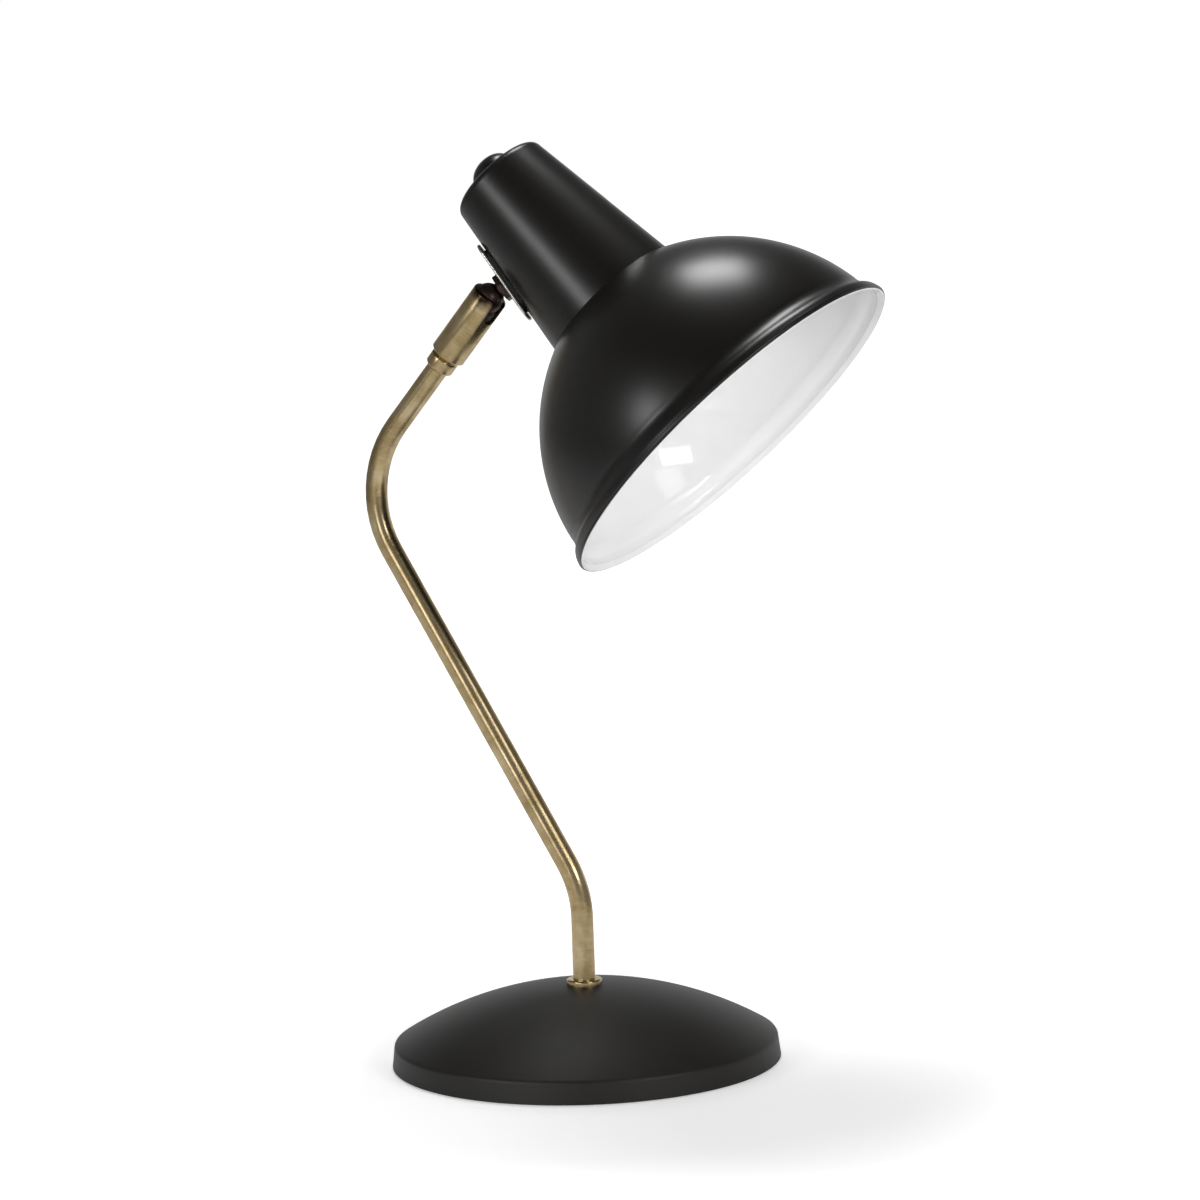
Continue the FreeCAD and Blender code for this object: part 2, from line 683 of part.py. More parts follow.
def socket_group():
    """The slotted socket and the spring and seat that press the ball against its rim."""
    rim_radius = "(socket_radius - socket_round)"
    mouth = "sqrt(%s * %s - socket_rise * socket_rise)" % (BALL_SEAT, BALL_SEAT)
    socket = turned("socket_body", [
        Corner("tube_radius + running_fit", "socket_start"),
        Corner("socket_radius - socket_bevel", "socket_start"),
        Corner("socket_radius", "socket_start + socket_bevel"),
        Corner("socket_radius", "%s - socket_round" % SOCKET_END, arc="socket_round"),
        Corner(rim_radius, SOCKET_END),
        Corner(mouth, SOCKET_END, arc=BALL_SEAT, side=-1),
        Corner(BALL_SEAT, "ball_place"),
        Corner(BALL_SEAT, SOCKET_FLOOR),
        Corner("tube_radius + running_fit", SOCKET_FLOOR)])
    slot = new_sketch(socket, "YZ_Plane", "neck_slot")
    half = "slot_half_width"
    centre = "(%s + slot_half_width)" % SLOT_BOTTOM
    Outline(slot, [
        Corner("0 - %s" % half, "%s + overrun" % SOCKET_END),
        Corner("0 - %s" % half, centre, arc=half),
        Corner(ZERO, SLOT_BOTTOM, arc=half),
        Corner(half, centre),
        Corner(half, "%s + overrun" % SOCKET_END)])
    cut_sketch(socket, slot, "socket_radius + overrun", reverse=True)
    hand_in(socket, "swivel_socket", SOCKET)

    washer_top = "(%s + spring_washer_thick)" % WASHER_START
    seat_low = "(ball_place - seat_cup_depth)"
    inner_radius = "(%s - loose_fit)" % BALL_SEAT
    washer = ring("spring_washer_body", "spring_washer_bore", inner_radius, WASHER_START, washer_top)
    hand_in(washer, "spring_washer", SOCKET)
    spring = coil("friction_spring", "spring_radius", "spring_wire", washer_top, seat_low, "spring_turns")
    hand_in(spring, "friction_spring", SOCKET)
    seat_rim = "sqrt(%s * %s - seat_cup_drop * seat_cup_drop)" % (BALL_SEAT, BALL_SEAT)
    bore_edge = "(ball_place - sqrt(%s * %s - seat_cup_bore * seat_cup_bore))" % (BALL_SEAT, BALL_SEAT)
    seat = turned("seat_cup_body", [
        Corner("seat_cup_bore", seat_low),
        Corner(inner_radius, seat_low),
        Corner(inner_radius, "ball_place - seat_cup_side"),
        Corner(seat_rim, "ball_place - seat_cup_drop", arc=BALL_SEAT, side=-1),
        Corner("seat_cup_bore", bore_edge)])
    hand_in(seat, "friction_seat", SOCKET)


def neck_group():
    """The ball, the hollow neck that turns in it, and the strap on the cup's side."""
    flat_edge = "(neck_radius + end_gap)"
    flat = "sqrt(ball_radius * ball_radius - %s * %s)" % (flat_edge, flat_edge)
    neck_start = "(%s + end_gap)" % flat
    neck_end = "(%s + neck_nut_thick + neck_reach)" % NECK_NUT_START
    bore_edge = "(0 - sqrt(ball_radius * ball_radius - neck_bore * neck_bore))"
    floor = "(0 - spigot_depth - end_gap)"
    ball = turned("ball_body", [
        Corner("neck_bore", bore_edge, arc="ball_radius"),
        Corner("ball_radius", ZERO, arc="ball_radius"),
        Corner(flat_edge, flat),
        Corner("spigot_radius + running_fit", flat),
        Corner("spigot_radius + running_fit", floor),
        Corner("neck_bore", floor)])
    hand_in(ball, "swivel_ball", NECK)
    neck = turned("neck_body", [
        Corner("neck_bore", "0 - spigot_depth"),
        Corner("spigot_radius", "0 - spigot_depth"),
        Corner("spigot_radius", neck_start),
        Corner("neck_radius", neck_start),
        Corner("neck_radius", neck_end),
        Corner("neck_bore", neck_end)])
    hand_in(neck, "swivel_neck", NECK)
    bore = "(neck_radius + end_gap)"
    nut_start = "(%s - lock_nut_thick)" % STRAP_PLACE
    nut = hex_nut("neck_lock_nut_body", "lock_nut_across", bore, nut_start, "lock_nut_thick")
    hand_in(nut, "neck_lock_nut", NECK)

    strap = new_body("strap")
    outline = new_sketch(strap, "XY_Plane", "strap_outline", STRAP_PLACE)
    half = "(strap_width / 2)"
    reach = "(strap_length / 2 - strap_width / 2)"
    obround(outline, half, reach)
    add_circle(outline, ZERO, ZERO, bore)
    pad_sketch(strap, outline, "strap_thick")
    for side in (-1, 1):
        sink = strap.newObject("PartDesign::SubtractiveCone", "screw_sink_%d" % (side + 1))
        bind(sink, Radius1="screw_head + end_gap", Radius2="screw_radius + end_gap", Height="strap_thick")
        sink.AttachmentSupport = [(plane(strap, "XY_Plane"), "")]
        sink.MapMode = "FlatFace"
        bind(sink, AttachmentOffset__Base__x=screw_place(side), AttachmentOffset__Base__z=STRAP_PLACE)
        DOC.recompute()
    hand_in(strap, "mount_strap", NECK)

    screws = DOC.addObject("Part::MultiFuse", "plate_screws_fuse")
    nuts = DOC.addObject("Part::Compound", "strap_nuts_group")
    pairs = []
    nut_list = []
    shank_start = "(%s + strap_thick / 2)" % STRAP_PLACE
    shank_end = "(%s + screw_nut_thick + neck_reach)" % LEG_INNER
    for side in (-1, 1):
        along = screw_place(side)
        head = DOC.addObject("Part::Cone", "screw_head_%d" % (side + 1))
        bind(head, Radius1="screw_head", Radius2="screw_radius", Height="strap_thick")
        bind(head, Placement__Base__x=along, Placement__Base__z=STRAP_PLACE)
        shank = DOC.addObject("Part::Cylinder", "screw_shank_%d" % (side + 1))
        bind(shank, Radius="screw_radius", Height="%s - %s" % (shank_end, shank_start))
        bind(shank, Placement__Base__x=along, Placement__Base__z=shank_start)
        pairs += [head, shank]
        prism = DOC.addObject("Part::Prism", "strap_nut_%d" % (side + 1))
        bind(prism, Circumradius="screw_nut_across / 2 / cos(30)", Height="screw_nut_thick")
        bind(prism, Placement__Base__x=along, Placement__Base__z=LEG_INNER)
        hole = DOC.addObject("Part::Cylinder", "strap_nut_hole_%d" % (side + 1))
        bind(hole, Radius="screw_radius + end_gap", Height="screw_nut_thick")
        bind(hole, Placement__Base__x=along, Placement__Base__z=LEG_INNER)
        nut_list.append(cut("strap_nut_bored_%d" % (side + 1), prism, hole))
    screws.Shapes = pairs
    nuts.Links = nut_list
    DOC.recompute()
    hand_in(screws, "strap_screws", NECK)
    hand_in(nuts, "strap_nuts", NECK)

    washer = ring("neck_washer_body", bore, "neck_washer_radius", LEG_INNER, NECK_NUT_START)
    hand_in(washer, "neck_washer", NECK)
    nut = hex_nut("neck_nut_body", "neck_nut_across", bore, NECK_NUT_START, "neck_nut_thick")
    hand_in(nut, "neck_nut", NECK)


def screw_place(side):
    """How far one of the strap's two screws lies from the stud, along the strap."""
    return "(%d * screw_spacing / 2 - strap_shift)" % side


def obround(sketch, half, reach):
    """A slot-shaped outline along the sketch's X axis, round the middle of the strap's screws."""
    front = "(%s - strap_shift)" % reach
    back = "(0 - %s - strap_shift)" % reach
    Outline(sketch, [
        Corner(back, "0 - %s" % half),
        Corner(front, "0 - %s" % half, arc=half),
        Corner("%s + %s" % (front, half), ZERO, arc=half),
        Corner(front, half),
        Corner(back, half, arc=half),
        Corner("%s - %s" % (back, half), ZERO, arc=half)])


def shell_group():
    """The cup, the saddle pad under the strap and the shade."""
    end_inner = "(%s - cup_wall)" % CUP_END
    cup = turned("cup_body", [
        Corner("cup_mouth", "cup_start"),
        Corner(CUP_END_RADIUS, CUP_END, rounding="cup_round"),
        Corner("button_radius + loose_fit", CUP_END),
        Corner("button_radius + loose_fit", end_inner),
        Corner("%s - %s + cup_wall * tan(cup_taper)" % (CUP_END_RADIUS, CUP_WALL_ACROSS), end_inner,
               rounding="cup_round - cup_wall"),
        Corner("cup_mouth - %s" % CUP_WALL_ACROSS, "cup_start")])
    hole = stud_tool("cup_stud_hole", "neck_radius + end_gap")
    screw_bore = "(screw_radius + end_gap)"
    sides = [stud_tool("cup_screw_hole_%d" % (side + 1), screw_bore, screw_place(side)) for side in (-1, 1)]
    hand_in(cut("cup_drilled", cup, hole, *sides), "lamp_cup", HEAD)

    block = new_body("saddle_block")
    outline = new_sketch(block, "XY_Plane", "saddle_outline", "%s + strap_thick" % STRAP_PLACE)
    obround(outline, "(saddle_width / 2)", "(saddle_length / 2 - saddle_width / 2)")
    pad_sketch(block, outline, "overrun")
    place(block, NECK_IN_HEAD)
    cone = DOC.addObject("Part::Cone", "saddle_cone")
    bind(cone, Radius1="cup_mouth", Radius2=CUP_END_RADIUS, Height="cup_length")
    bind(cone, Placement__Base__z="cup_start")
    hole = stud_tool("saddle_stud_hole", "neck_radius + end_gap")
    sides = [stud_tool("saddle_screw_hole_%d" % (side + 1), screw_bore, screw_place(side))
             for side in (-1, 1)]
    hand_in(cut("saddle_shaped", block, cone, hole, *sides), "saddle_pad", HEAD)

    outer_top = "(cup_mouth + cup_ledge)"
    inner_bowl = "(bowl_radius - shade_wall)"
    inner_foot = "(sqrt(%s ^ 2 - (bowl_foot + bowl_middle) ^ 2) - bowl_offset)" % inner_bowl
    inner_lift = "(cup_start - shade_wall)"
    inner_top = "(sqrt(%s ^ 2 - (%s + bowl_middle) ^ 2) - bowl_offset)" % (inner_bowl, inner_lift)
    shade = turned("shade_body", [
        Corner("shade_inlet", "cup_start"),
        Corner(outer_top, "cup_start", arc="bowl_radius", side=-1),
        Corner("bowl_foot_radius", "bowl_foot", arc="flare_curve"),
        Corner("flare_radius", "flare_start", arc="lip_curve", side=-1),
        Corner("shade_mouth", "bead_start", arc="bead_curve", side=-1),
        Corner("shade_mouth - bead_curve", ZERO),
        Corner("flare_radius - shade_wall / 2", "bead_start", arc="lip_curve"),
        Corner("flare_radius - shade_wall", "flare_start - shade_wall / 2",
               arc="flare_curve + shade_wall", side=-1),
        Corner(inner_foot, "bowl_foot", arc=inner_bowl),
        Corner(inner_top, inner_lift),
        Corner("shade_inlet", inner_lift)])
    hand_in(shade, "shade", HEAD)


def holder_group():
    """The bracket that joins cup and shade, the lampholder on it, and its ring and contacts."""
    bracket = new_body("bracket")
    foot = new_sketch(bracket, "XY_Plane", "bracket_foot", "cup_start")
    add_circle(foot, ZERO, ZERO, "foot_radius")
    pad_sketch(bracket, foot, "leg_thick")
    side = new_sketch(bracket, "XZ_Plane", "bracket_leg")
    outer = "(%s + %s * cos(cup_taper))" % (BALL_ACROSS, LEG_OUTER)
    inner = "(%s + %s * cos(cup_taper))" % (BALL_ACROSS, LEG_INNER)
    outer_back = "(%s - %s * sin(cup_taper))" % (BALL_BACK, LEG_OUTER)
    inner_back = "(%s - %s * sin(cup_taper))" % (BALL_BACK, LEG_INNER)
    reach = "(leg_length / 2)"
    outer_foot = "(%s - (%s - cup_start) * tan(cup_taper))" % (outer, outer_back)
    inner_foot = "(%s - (%s - cup_start - leg_thick) * tan(cup_taper))" % (inner, inner_back)
    along = "%s * sin(cup_taper)" % reach
    up = "%s * cos(cup_taper)" % reach
    Outline(side, [
        Corner(outer_foot, "cup_start"),
        Corner("0 - foot_radius / 2", "cup_start"),
        Corner("0 - foot_radius / 2", "cup_start + leg_thick"),
        Corner(inner_foot, "cup_start + leg_thick"),
        Corner("%s + %s" % (inner, along), "%s + %s" % (inner_back, up)),
        Corner("%s + %s" % (outer, along), "%s + %s" % (outer_back, up))])
    pad_sketch(bracket, side, "leg_width", both=True)
    bore = new_sketch(bracket, "XY_Plane", "bracket_bore", "cup_start")
    add_circle(bore, ZERO, ZERO, "foot_bore")
    cut_sketch(bracket, bore, "leg_thick + overrun", both=True)
    hole = stud_tool("leg_stud_hole", "neck_radius + end_gap")
    sides = [stud_tool("leg_screw_hole_%d" % (way + 1), "screw_radius + end_gap", screw_place(way))
             for way in (-1, 1)]
    hand_in(cut("bracket_drilled", bracket, hole, *sides), "holder_bracket", HEAD)

    shoulder = "(cup_start + leg_thick)"
    holder = turned("holder_body", [
        Corner("holder_bore", HOLDER_FRONT),
        Corner("holder_skirt", HOLDER_FRONT),
        Corner("holder_skirt", shoulder),
        Corner("holder_shoulder", shoulder),
        Corner("holder_shoulder", "%s - holder_end_thick" % HOLDER_FLOOR, arc="holder_depth"),
        Corner("holder_tail", HOLDER_BACK),
        Corner("tongue_post", HOLDER_BACK),
        Corner("tongue_post", HOLDER_FLOOR),
        Corner("holder_bore", HOLDER_FLOOR)])
    hand_in(holder, "lampholder", HEAD)

    shade_face = "(cup_start - shade_wall)"
    clamp = ring("shade_ring_body", "holder_skirt + end_gap", "ring_radius", RING_FRONT, shade_face)
    notch = new_sketch(clamp, "XY_Plane", "shade_ring_notch", RING_FRONT)
    add_circle(notch, "ring_radius", ZERO, "ring_notch / 2")
    cut_sketch(clamp, notch, "ring_height", reverse=True)
    pattern = clamp.newObject("PartDesign::PolarPattern", "shade_ring_notches")
    pattern.Originals = [clamp.Tip]
    pattern.Axis = ([item for item in clamp.Origin.OriginFeatures if item.Role == "Z_Axis"][0], [""])
    pattern.Angle = 360
    bind(pattern, Occurrences="ring_notches")
    clamp.Tip = pattern
    DOC.recompute()
    hand_in(clamp, "shade_ring", HEAD)

    shell_floor = "(%s - shell_wall)" % HOLDER_FLOOR
    shell = turned("screw_shell_body", [
        Corner("shell_radius - shell_wall", "cup_start"),
        Corner("shell_radius", "cup_start"),
        Corner("shell_radius", HOLDER_FLOOR),
        Corner("tongue_radius + tongue_thick", HOLDER_FLOOR),
        Corner("tongue_radius + tongue_thick", shell_floor),
        Corner("shell_radius - shell_wall", shell_floor)])
    hand_in(shell, "screw_shell", HEAD)

    tongue_front = "(%s - tongue_thick)" % HOLDER_FLOOR
    tongue = turned("tongue_body", [
        Corner(ZERO, tongue_front),
        Corner("tongue_radius", tongue_front),
        Corner("tongue_radius", HOLDER_FLOOR),
        Corner("tongue_post - end_gap", HOLDER_FLOOR),
        Corner("tongue_post - end_gap", HOLDER_BACK),
        Corner(ZERO, HOLDER_BACK)])
    hand_in(tongue, "centre_contact", HEAD)

    terminals = DOC.addObject("Part::Compound", "terminals_group")
    heads = []
    for side in (-1, 1):
        head = DOC.addObject("Part::Cylinder", "terminal_%d" % (side + 1))
        bind(head, Radius="terminal_radius", Height="terminal_rise")
        bind(head, Placement__Base__y="%d * terminal_place" % side, Placement__Base__z=HOLDER_BACK)
        heads.append(head)
    terminals.Links = heads
    DOC.recompute()
    hand_in(terminals, "terminal_screws", HEAD)


def bulb_group():
    """A small round screw-in bulb in the lampholder."""
    middle = "(%s + bulb_radius)" % BULB_TIP
    inner = "(bulb_radius - bulb_wall)"
    rise_share = "sqrt(1 - bulb_shoulder_share ^ 2)"
    glass = turned("bulb_glass_body", [
        Corner(ZERO, BULB_TIP),
        Corner(ZERO, "%s + bulb_wall" % BULB_TIP, arc=inner),
        Corner(inner, middle, arc=inner),
        Corner("%s * bulb_shoulder_share" % inner, "%s + %s * %s" % (middle, inner, rise_share),
               arc="bulb_neck_curve", side=-1),
        Corner("bulb_neck - bulb_wall", "%s + overrun" % CAP_FRONT),
        Corner("bulb_neck", "%s + overrun" % CAP_FRONT),
        Corner("bulb_neck", CAP_FRONT, arc="bulb_neck_curve"),
        Corner("bulb_radius * bulb_shoulder_share", "%s + bulb_radius * %s" % (middle, rise_share),
               arc="bulb_radius", side=-1),
        Corner("bulb_radius", middle, arc="bulb_radius", side=-1)])
    hand_in(glass, "bulb_glass", HEAD)
    cap_rim = "(%s + cap_rim)" % CAP_BACK
    cap = turned("bulb_cap_body", [
        Corner("cap_radius - cap_wall", CAP_FRONT),
        Corner("cap_radius", CAP_FRONT),
        Corner("cap_radius", CAP_BACK),
        Corner("insulator_radius", cap_rim),
        Corner("insulator_radius", CAP_BACK),
        Corner("cap_radius - cap_wall", "%s - cap_wall" % CAP_BACK)])
    hand_in(cap, "bulb_cap", HEAD)
    insulator = turned("insulator_body", [
        Corner(ZERO, "%s - cap_wall" % CAP_BACK),
        Corner("insulator_radius - cap_wall", "%s - cap_wall" % CAP_BACK),
        Corner("insulator_radius - cap_wall", cap_rim),
        Corner("insulator_radius", cap_rim),
        Corner("tip_radius", INSULATOR_BACK),
        Corner(ZERO, INSULATOR_BACK)])
    hand_in(insulator, "bulb_insulator", HEAD)
    dome = "((tip_radius ^ 2 + tip_length ^ 2) / (tip_length + tip_length))"
    tip = turned("bulb_tip_body", [
        Corner(ZERO, INSULATOR_BACK),
        Corner("tip_radius", INSULATOR_BACK, arc=dome),
        Corner(ZERO, TIP_BACK)])
    hand_in(tip, "bulb_contact", HEAD)


def switch_group():
    """The push button, its guide inside the cup's end and the spring that returns it."""
    button_out = "(%s + button_reach)" % CUP_END
    button_in = "(%s - button_sink)" % CUP_END
    crown = "(%s - button_dome + sqrt(button_dome ^ 2 - button_edge ^ 2))" % button_out
    shoulder = "(%s - button_shoulder_drop)" % crown
    guide_top = "(%s - cup_wall)" % CUP_END
    flange_foot = "(%s - guide_flange_thick)" % guide_top
    pocket_floor = "(%s + cup_wall)" % GUIDE_BACK
    post_end = "(%s + button_stroke + loose_fit)" % pocket_floor
    button = turned("button_body", [
        Corner(ZERO, button_out),
        Corner(ZERO, post_end),
        Corner("button_post", post_end),
        Corner("button_post", button_in),
        Corner("button_radius", button_in),
        Corner("button_radius", shoulder, arc="button_shoulder_curve"),
        Corner("button_edge", crown, arc="button_dome")])
    hand_in(button, "push_button", HEAD)

    bore = "(button_radius + loose_fit)"
    post = "(button_post + loose_fit)"
    guide = turned("guide_body", [
        Corner(bore, GUIDE_FLOOR),
        Corner(bore, guide_top),
        Corner("guide_flange", guide_top),
        Corner("guide_flange", flange_foot),
        Corner("guide_radius", flange_foot),
        Corner("guide_radius", GUIDE_BACK),
        Corner(ZERO, GUIDE_BACK),
        Corner(ZERO, pocket_floor),
        Corner(post, pocket_floor),
        Corner(post, GUIDE_FLOOR)])
    hand_in(guide, "switch_body", HEAD)
    spring = coil("return_spring", "return_radius", "return_wire", GUIDE_FLOOR, button_in, "return_turns")
    hand_in(spring, "button_spring", HEAD)


base_group()
stem_group()
socket_group()
neck_group()
shell_group()
holder_group()
bulb_group()
switch_group()
DOC.recompute()

for item in DOC.Objects:
    if {"Invalid", "Error"} & set(item.State):
        raise RuntimeError("%s failed: %s" % (item.Name, item.State))
os.makedirs("parts", exist_ok=True)
for item in PARTS:
    shape = item.Shape
    if shape.isNull() or not shape.isValid() or not shape.Solids:
        raise RuntimeError(item.Label + " has no valid shape")
for item in PARTS:
    item.Shape.exportStep("parts/%s.step" % item.Label)
    print("%-18s solids %d  volume %9.1f" % (item.Label, len(item.Shape.Solids), item.Shape.Volume))
print("sub-parts", len(PARTS))
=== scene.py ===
"""The looks of an adjustable desk lamp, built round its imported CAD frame.

The visible shells, the stem and the swivel are turned, swept and bevelled here; the small parts keep
their CAD shape and get their finishes. Sizes are millimetres in each piece's own frame.
"""

from __future__ import annotations

import json
import logging
import math
from collections.abc import Callable
from dataclasses import dataclass
from enum import Enum

import bmesh
import bpy
from mathutils import Matrix, Vector

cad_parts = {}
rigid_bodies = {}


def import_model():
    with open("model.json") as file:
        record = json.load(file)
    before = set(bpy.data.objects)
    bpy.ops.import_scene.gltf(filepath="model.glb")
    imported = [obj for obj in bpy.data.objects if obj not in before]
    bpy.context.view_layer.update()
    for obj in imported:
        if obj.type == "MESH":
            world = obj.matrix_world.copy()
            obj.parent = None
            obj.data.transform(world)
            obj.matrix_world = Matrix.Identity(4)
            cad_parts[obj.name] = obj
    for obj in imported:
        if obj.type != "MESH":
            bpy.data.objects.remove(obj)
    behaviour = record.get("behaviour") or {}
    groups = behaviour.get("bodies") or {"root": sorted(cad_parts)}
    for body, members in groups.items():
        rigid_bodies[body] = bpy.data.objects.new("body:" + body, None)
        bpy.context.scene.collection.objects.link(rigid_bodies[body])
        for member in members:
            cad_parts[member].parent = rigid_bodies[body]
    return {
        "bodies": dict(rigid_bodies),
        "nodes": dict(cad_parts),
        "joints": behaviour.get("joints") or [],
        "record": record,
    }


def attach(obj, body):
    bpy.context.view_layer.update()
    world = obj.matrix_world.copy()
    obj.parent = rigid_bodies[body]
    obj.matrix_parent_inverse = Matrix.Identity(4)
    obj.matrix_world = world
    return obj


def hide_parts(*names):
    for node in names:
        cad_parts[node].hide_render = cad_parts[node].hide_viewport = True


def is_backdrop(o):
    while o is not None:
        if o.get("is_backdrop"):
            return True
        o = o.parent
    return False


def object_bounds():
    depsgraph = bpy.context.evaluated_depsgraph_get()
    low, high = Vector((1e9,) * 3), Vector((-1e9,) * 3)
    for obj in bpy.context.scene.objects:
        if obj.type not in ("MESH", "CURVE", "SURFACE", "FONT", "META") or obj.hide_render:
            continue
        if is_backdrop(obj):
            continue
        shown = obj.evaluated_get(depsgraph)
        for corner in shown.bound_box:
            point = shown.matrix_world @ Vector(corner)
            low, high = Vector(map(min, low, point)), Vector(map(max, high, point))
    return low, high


LOG = logging.getLogger("desk_lamp")
MM = 0.001
FULL_TURN = 2 * math.pi
SIDES = (-1, 1)
WHITE = (1, 1, 1, 1)
# Edges that turn by more than this many degrees stay sharp.
CREASE = 32.0
# Most of a noise lies between these values.
NOISE_SPAN = (0.3, 0.7)
# Closer points are merged, and smaller edges are taken out.
DOUBLE_MM = 0.0005
COLLAPSED_MM = 0.0001
# How far the ball's centre lies above the origin of the socket's frame.
BALL_PLACE = 110.75

Colour = tuple[float, float, float, float]
Mesh = bmesh.types.BMesh
Socket = bpy.types.NodeSocket
Tree = bpy.types.NodeTree


class Bow(Enum):
    """The side of the way on which an arc's centre lies."""

    LEFT = 1
    RIGHT = -1


class Ray(Enum):
    """The rays that see the surroundings white."""

    CAMERA = "Is Camera Ray"
    TRANSMISSION = "Is Transmission Ray"


def linear(code: str) -> Colour:
    """Turn an sRGB hex value into a linear colour.

    Args:
        code: Six hex digits after a hash.

    Returns:
        Red, green, blue and a full alpha.
    """
    shares = [int(code[place : place + 2], 16) / 255 for place in (1, 3, 5)]
    red, green, blue = (c / 12.92 if c <= 0.04045 else ((c + 0.055) / 1.055) ** 2.4 for c in shares)
    return red, green, blue, 1.0


def add_node(tree: Tree, kind: str, inputs: dict | None = None, **settings: object) -> bpy.types.Node:
    """Add a node to a tree with its settings, values and links.

    Args:
        tree: The tree to add to.
        kind: The node's Blender type.
        inputs: Socket names or numbers with a value or an output socket for each.
        **settings: The node's own properties.

    Returns:
        The new node.
    """
    node = tree.nodes.new(kind)
    for name, value in settings.items():
        setattr(node, name, value)
    for name, value in (inputs or {}).items():
        if isinstance(value, Socket):
            tree.links.new(value, node.inputs[name])
        else:
            node.inputs[name].default_value = value
    return node


def new_material(name: str, **values: object) -> tuple[bpy.types.Material, bpy.types.Node]:
    """Make a material with one Principled shader.

    Args:
        name: The material's name.
        **values: Values of the shader's sockets, with underscores for spaces.

    Returns:
        The material and its shader.
    """
    material = bpy.data.materials.new(name)
    material.use_nodes = True
    shader = material.node_tree.nodes["Principled BSDF"]
    for socket, value in values.items():
        shader.inputs[socket.replace("_", " ")].default_value = value
    return material, shader


@dataclass(frozen=True)
class Finish:
    """What all finishes share: fine patterns of a real size, and a shader that follows them."""

    name: str

    def material(self) -> bpy.types.Material:
        """Build the finish.

        Returns:
            Its material.
        """
        raise NotImplementedError

    @staticmethod
    def pattern(tree: Tree, *size_mm: float, detail: float = 3.0, local: bool = False) -> Socket:
        """Lay a pattern whose blobs have a real size.

        Args:
            tree: The material's tree.
            *size_mm: The size of a blob, for all three axes or for each.
            detail: How many octaves the pattern has.
            local: True to follow the piece's own frame, which its "local" attribute holds in millimetres.

        Returns:
            The pattern's socket.
        """
        if local:
            unit, place = 1.0, add_node(tree, "ShaderNodeAttribute", attribute_name="local").outputs["Vector"]
        else:
            unit, place = MM, add_node(tree, "ShaderNodeTexCoord").outputs["Object"]
        sizes = size_mm * 3 if len(size_mm) == 1 else size_mm
        scale = tuple(1 / (size * unit) for size in sizes)
        spread = add_node(tree, "ShaderNodeMapping", {"Vector": place, "Scale": scale}).outputs["Vector"]
        noise = add_node(tree, "ShaderNodeTexNoise", {"Vector": spread, "Scale": 1.0, "Detail": detail})
        return noise.outputs["Fac"]

    @staticmethod
    def follow(shader: bpy.types.Node, tone: Socket, tints: list[tuple[float, str]],
               roughness: tuple[float, float] | None = None, span: tuple[float, float] = (0.0, 1.0),
               relief: tuple[Socket, float] | None = None) -> Socket:
        """Let a shader's colour, roughness and relief follow patterns.

        Args:
            shader: The shader.
            tone: The pattern that the colour and the roughness follow.
            tints: Places from 0 to 1 on that pattern, each with its hex colour.
            roughness: The roughness at both ends of the span.
            span: The part of the pattern that the roughness follows.
            relief: The pattern that stands proud, and its depth in millimetres.

        Returns:
            The colour's socket.
        """
        tree = shader.id_data
        colours = add_node(tree, "ShaderNodeValToRGB", {"Fac": tone})
        stops = colours.color_ramp.elements
        for index, (place, code) in enumerate(tints):
            stop = stops[index] if index < len(stops) else stops.new(place)
            stop.position = place
            stop.color = linear(code)
        tree.links.new(colours.outputs["Color"], shader.inputs["Base Color"])
        if roughness:
            gloss = add_node(tree, "ShaderNodeMapRange", {
                "Value": tone, "From Min": span[0], "From Max": span[1],
                "To Min": roughness[0], "To Max": roughness[1]})
            tree.links.new(gloss.outputs["Result"], shader.inputs["Roughness"])
        if relief:
            height, depth_mm = relief
            raised = add_node(tree, "ShaderNodeBump", {"Height": height, "Strength": 1.0,
                                                       "Distance": depth_mm * MM})
            tree.links.new(raised.outputs["Normal"], shader.inputs["Normal"])
        return colours.outputs["Color"]


@dataclass(frozen=True)
class PowderCoat(Finish):
    """Satin black polyester powder coat on pressed steel: a very fine orange peel spreads its highlights."""

    roughness: tuple[float, float]
    colour: str = "#0d0b09"
    faded: str = "#110f0d"
    peel_mm: float = 0.9
    peel_depth_mm: float = 0.012
    cloud_mm: float = 45.0

    def material(self) -> bpy.types.Material:
        """Build the coat.

        Returns:
            Its material.
        """
        material, shader = new_material(self.name)
        cloud = self.pattern(material.node_tree, self.cloud_mm)
        peel = self.pattern(material.node_tree, self.peel_mm, detail=2.0)
        self.follow(shader, cloud, [(0.35, self.colour), (0.7, self.faded)], self.roughness,
                    relief=(peel, self.peel_depth_mm))
        return material


@dataclass(frozen=True)
class GlossEnamel(Finish):
    """White stove enamel sprayed inside the shade: a clean gloss with a faint wave from the spray."""

    colour: str = "#ececed"
    dusty: str = "#e6e6e7"
    roughness: tuple[float, float] = (0.05, 0.08)
    wave_mm: float = 7.0
    wave_depth_mm: float = 0.006
    cloud_mm: float = 60.0

    def material(self) -> bpy.types.Material:
        """Build the enamel.

        Returns:
            Its material.
        """
        material, shader = new_material(self.name)
        cloud = self.pattern(material.node_tree, self.cloud_mm)
        wave = self.pattern(material.node_tree, self.wave_mm, detail=1.0)
        self.follow(shader, cloud, [(0.3, self.colour), (0.8, self.dusty)], self.roughness,
                    relief=(wave, self.wave_depth_mm))
        return material


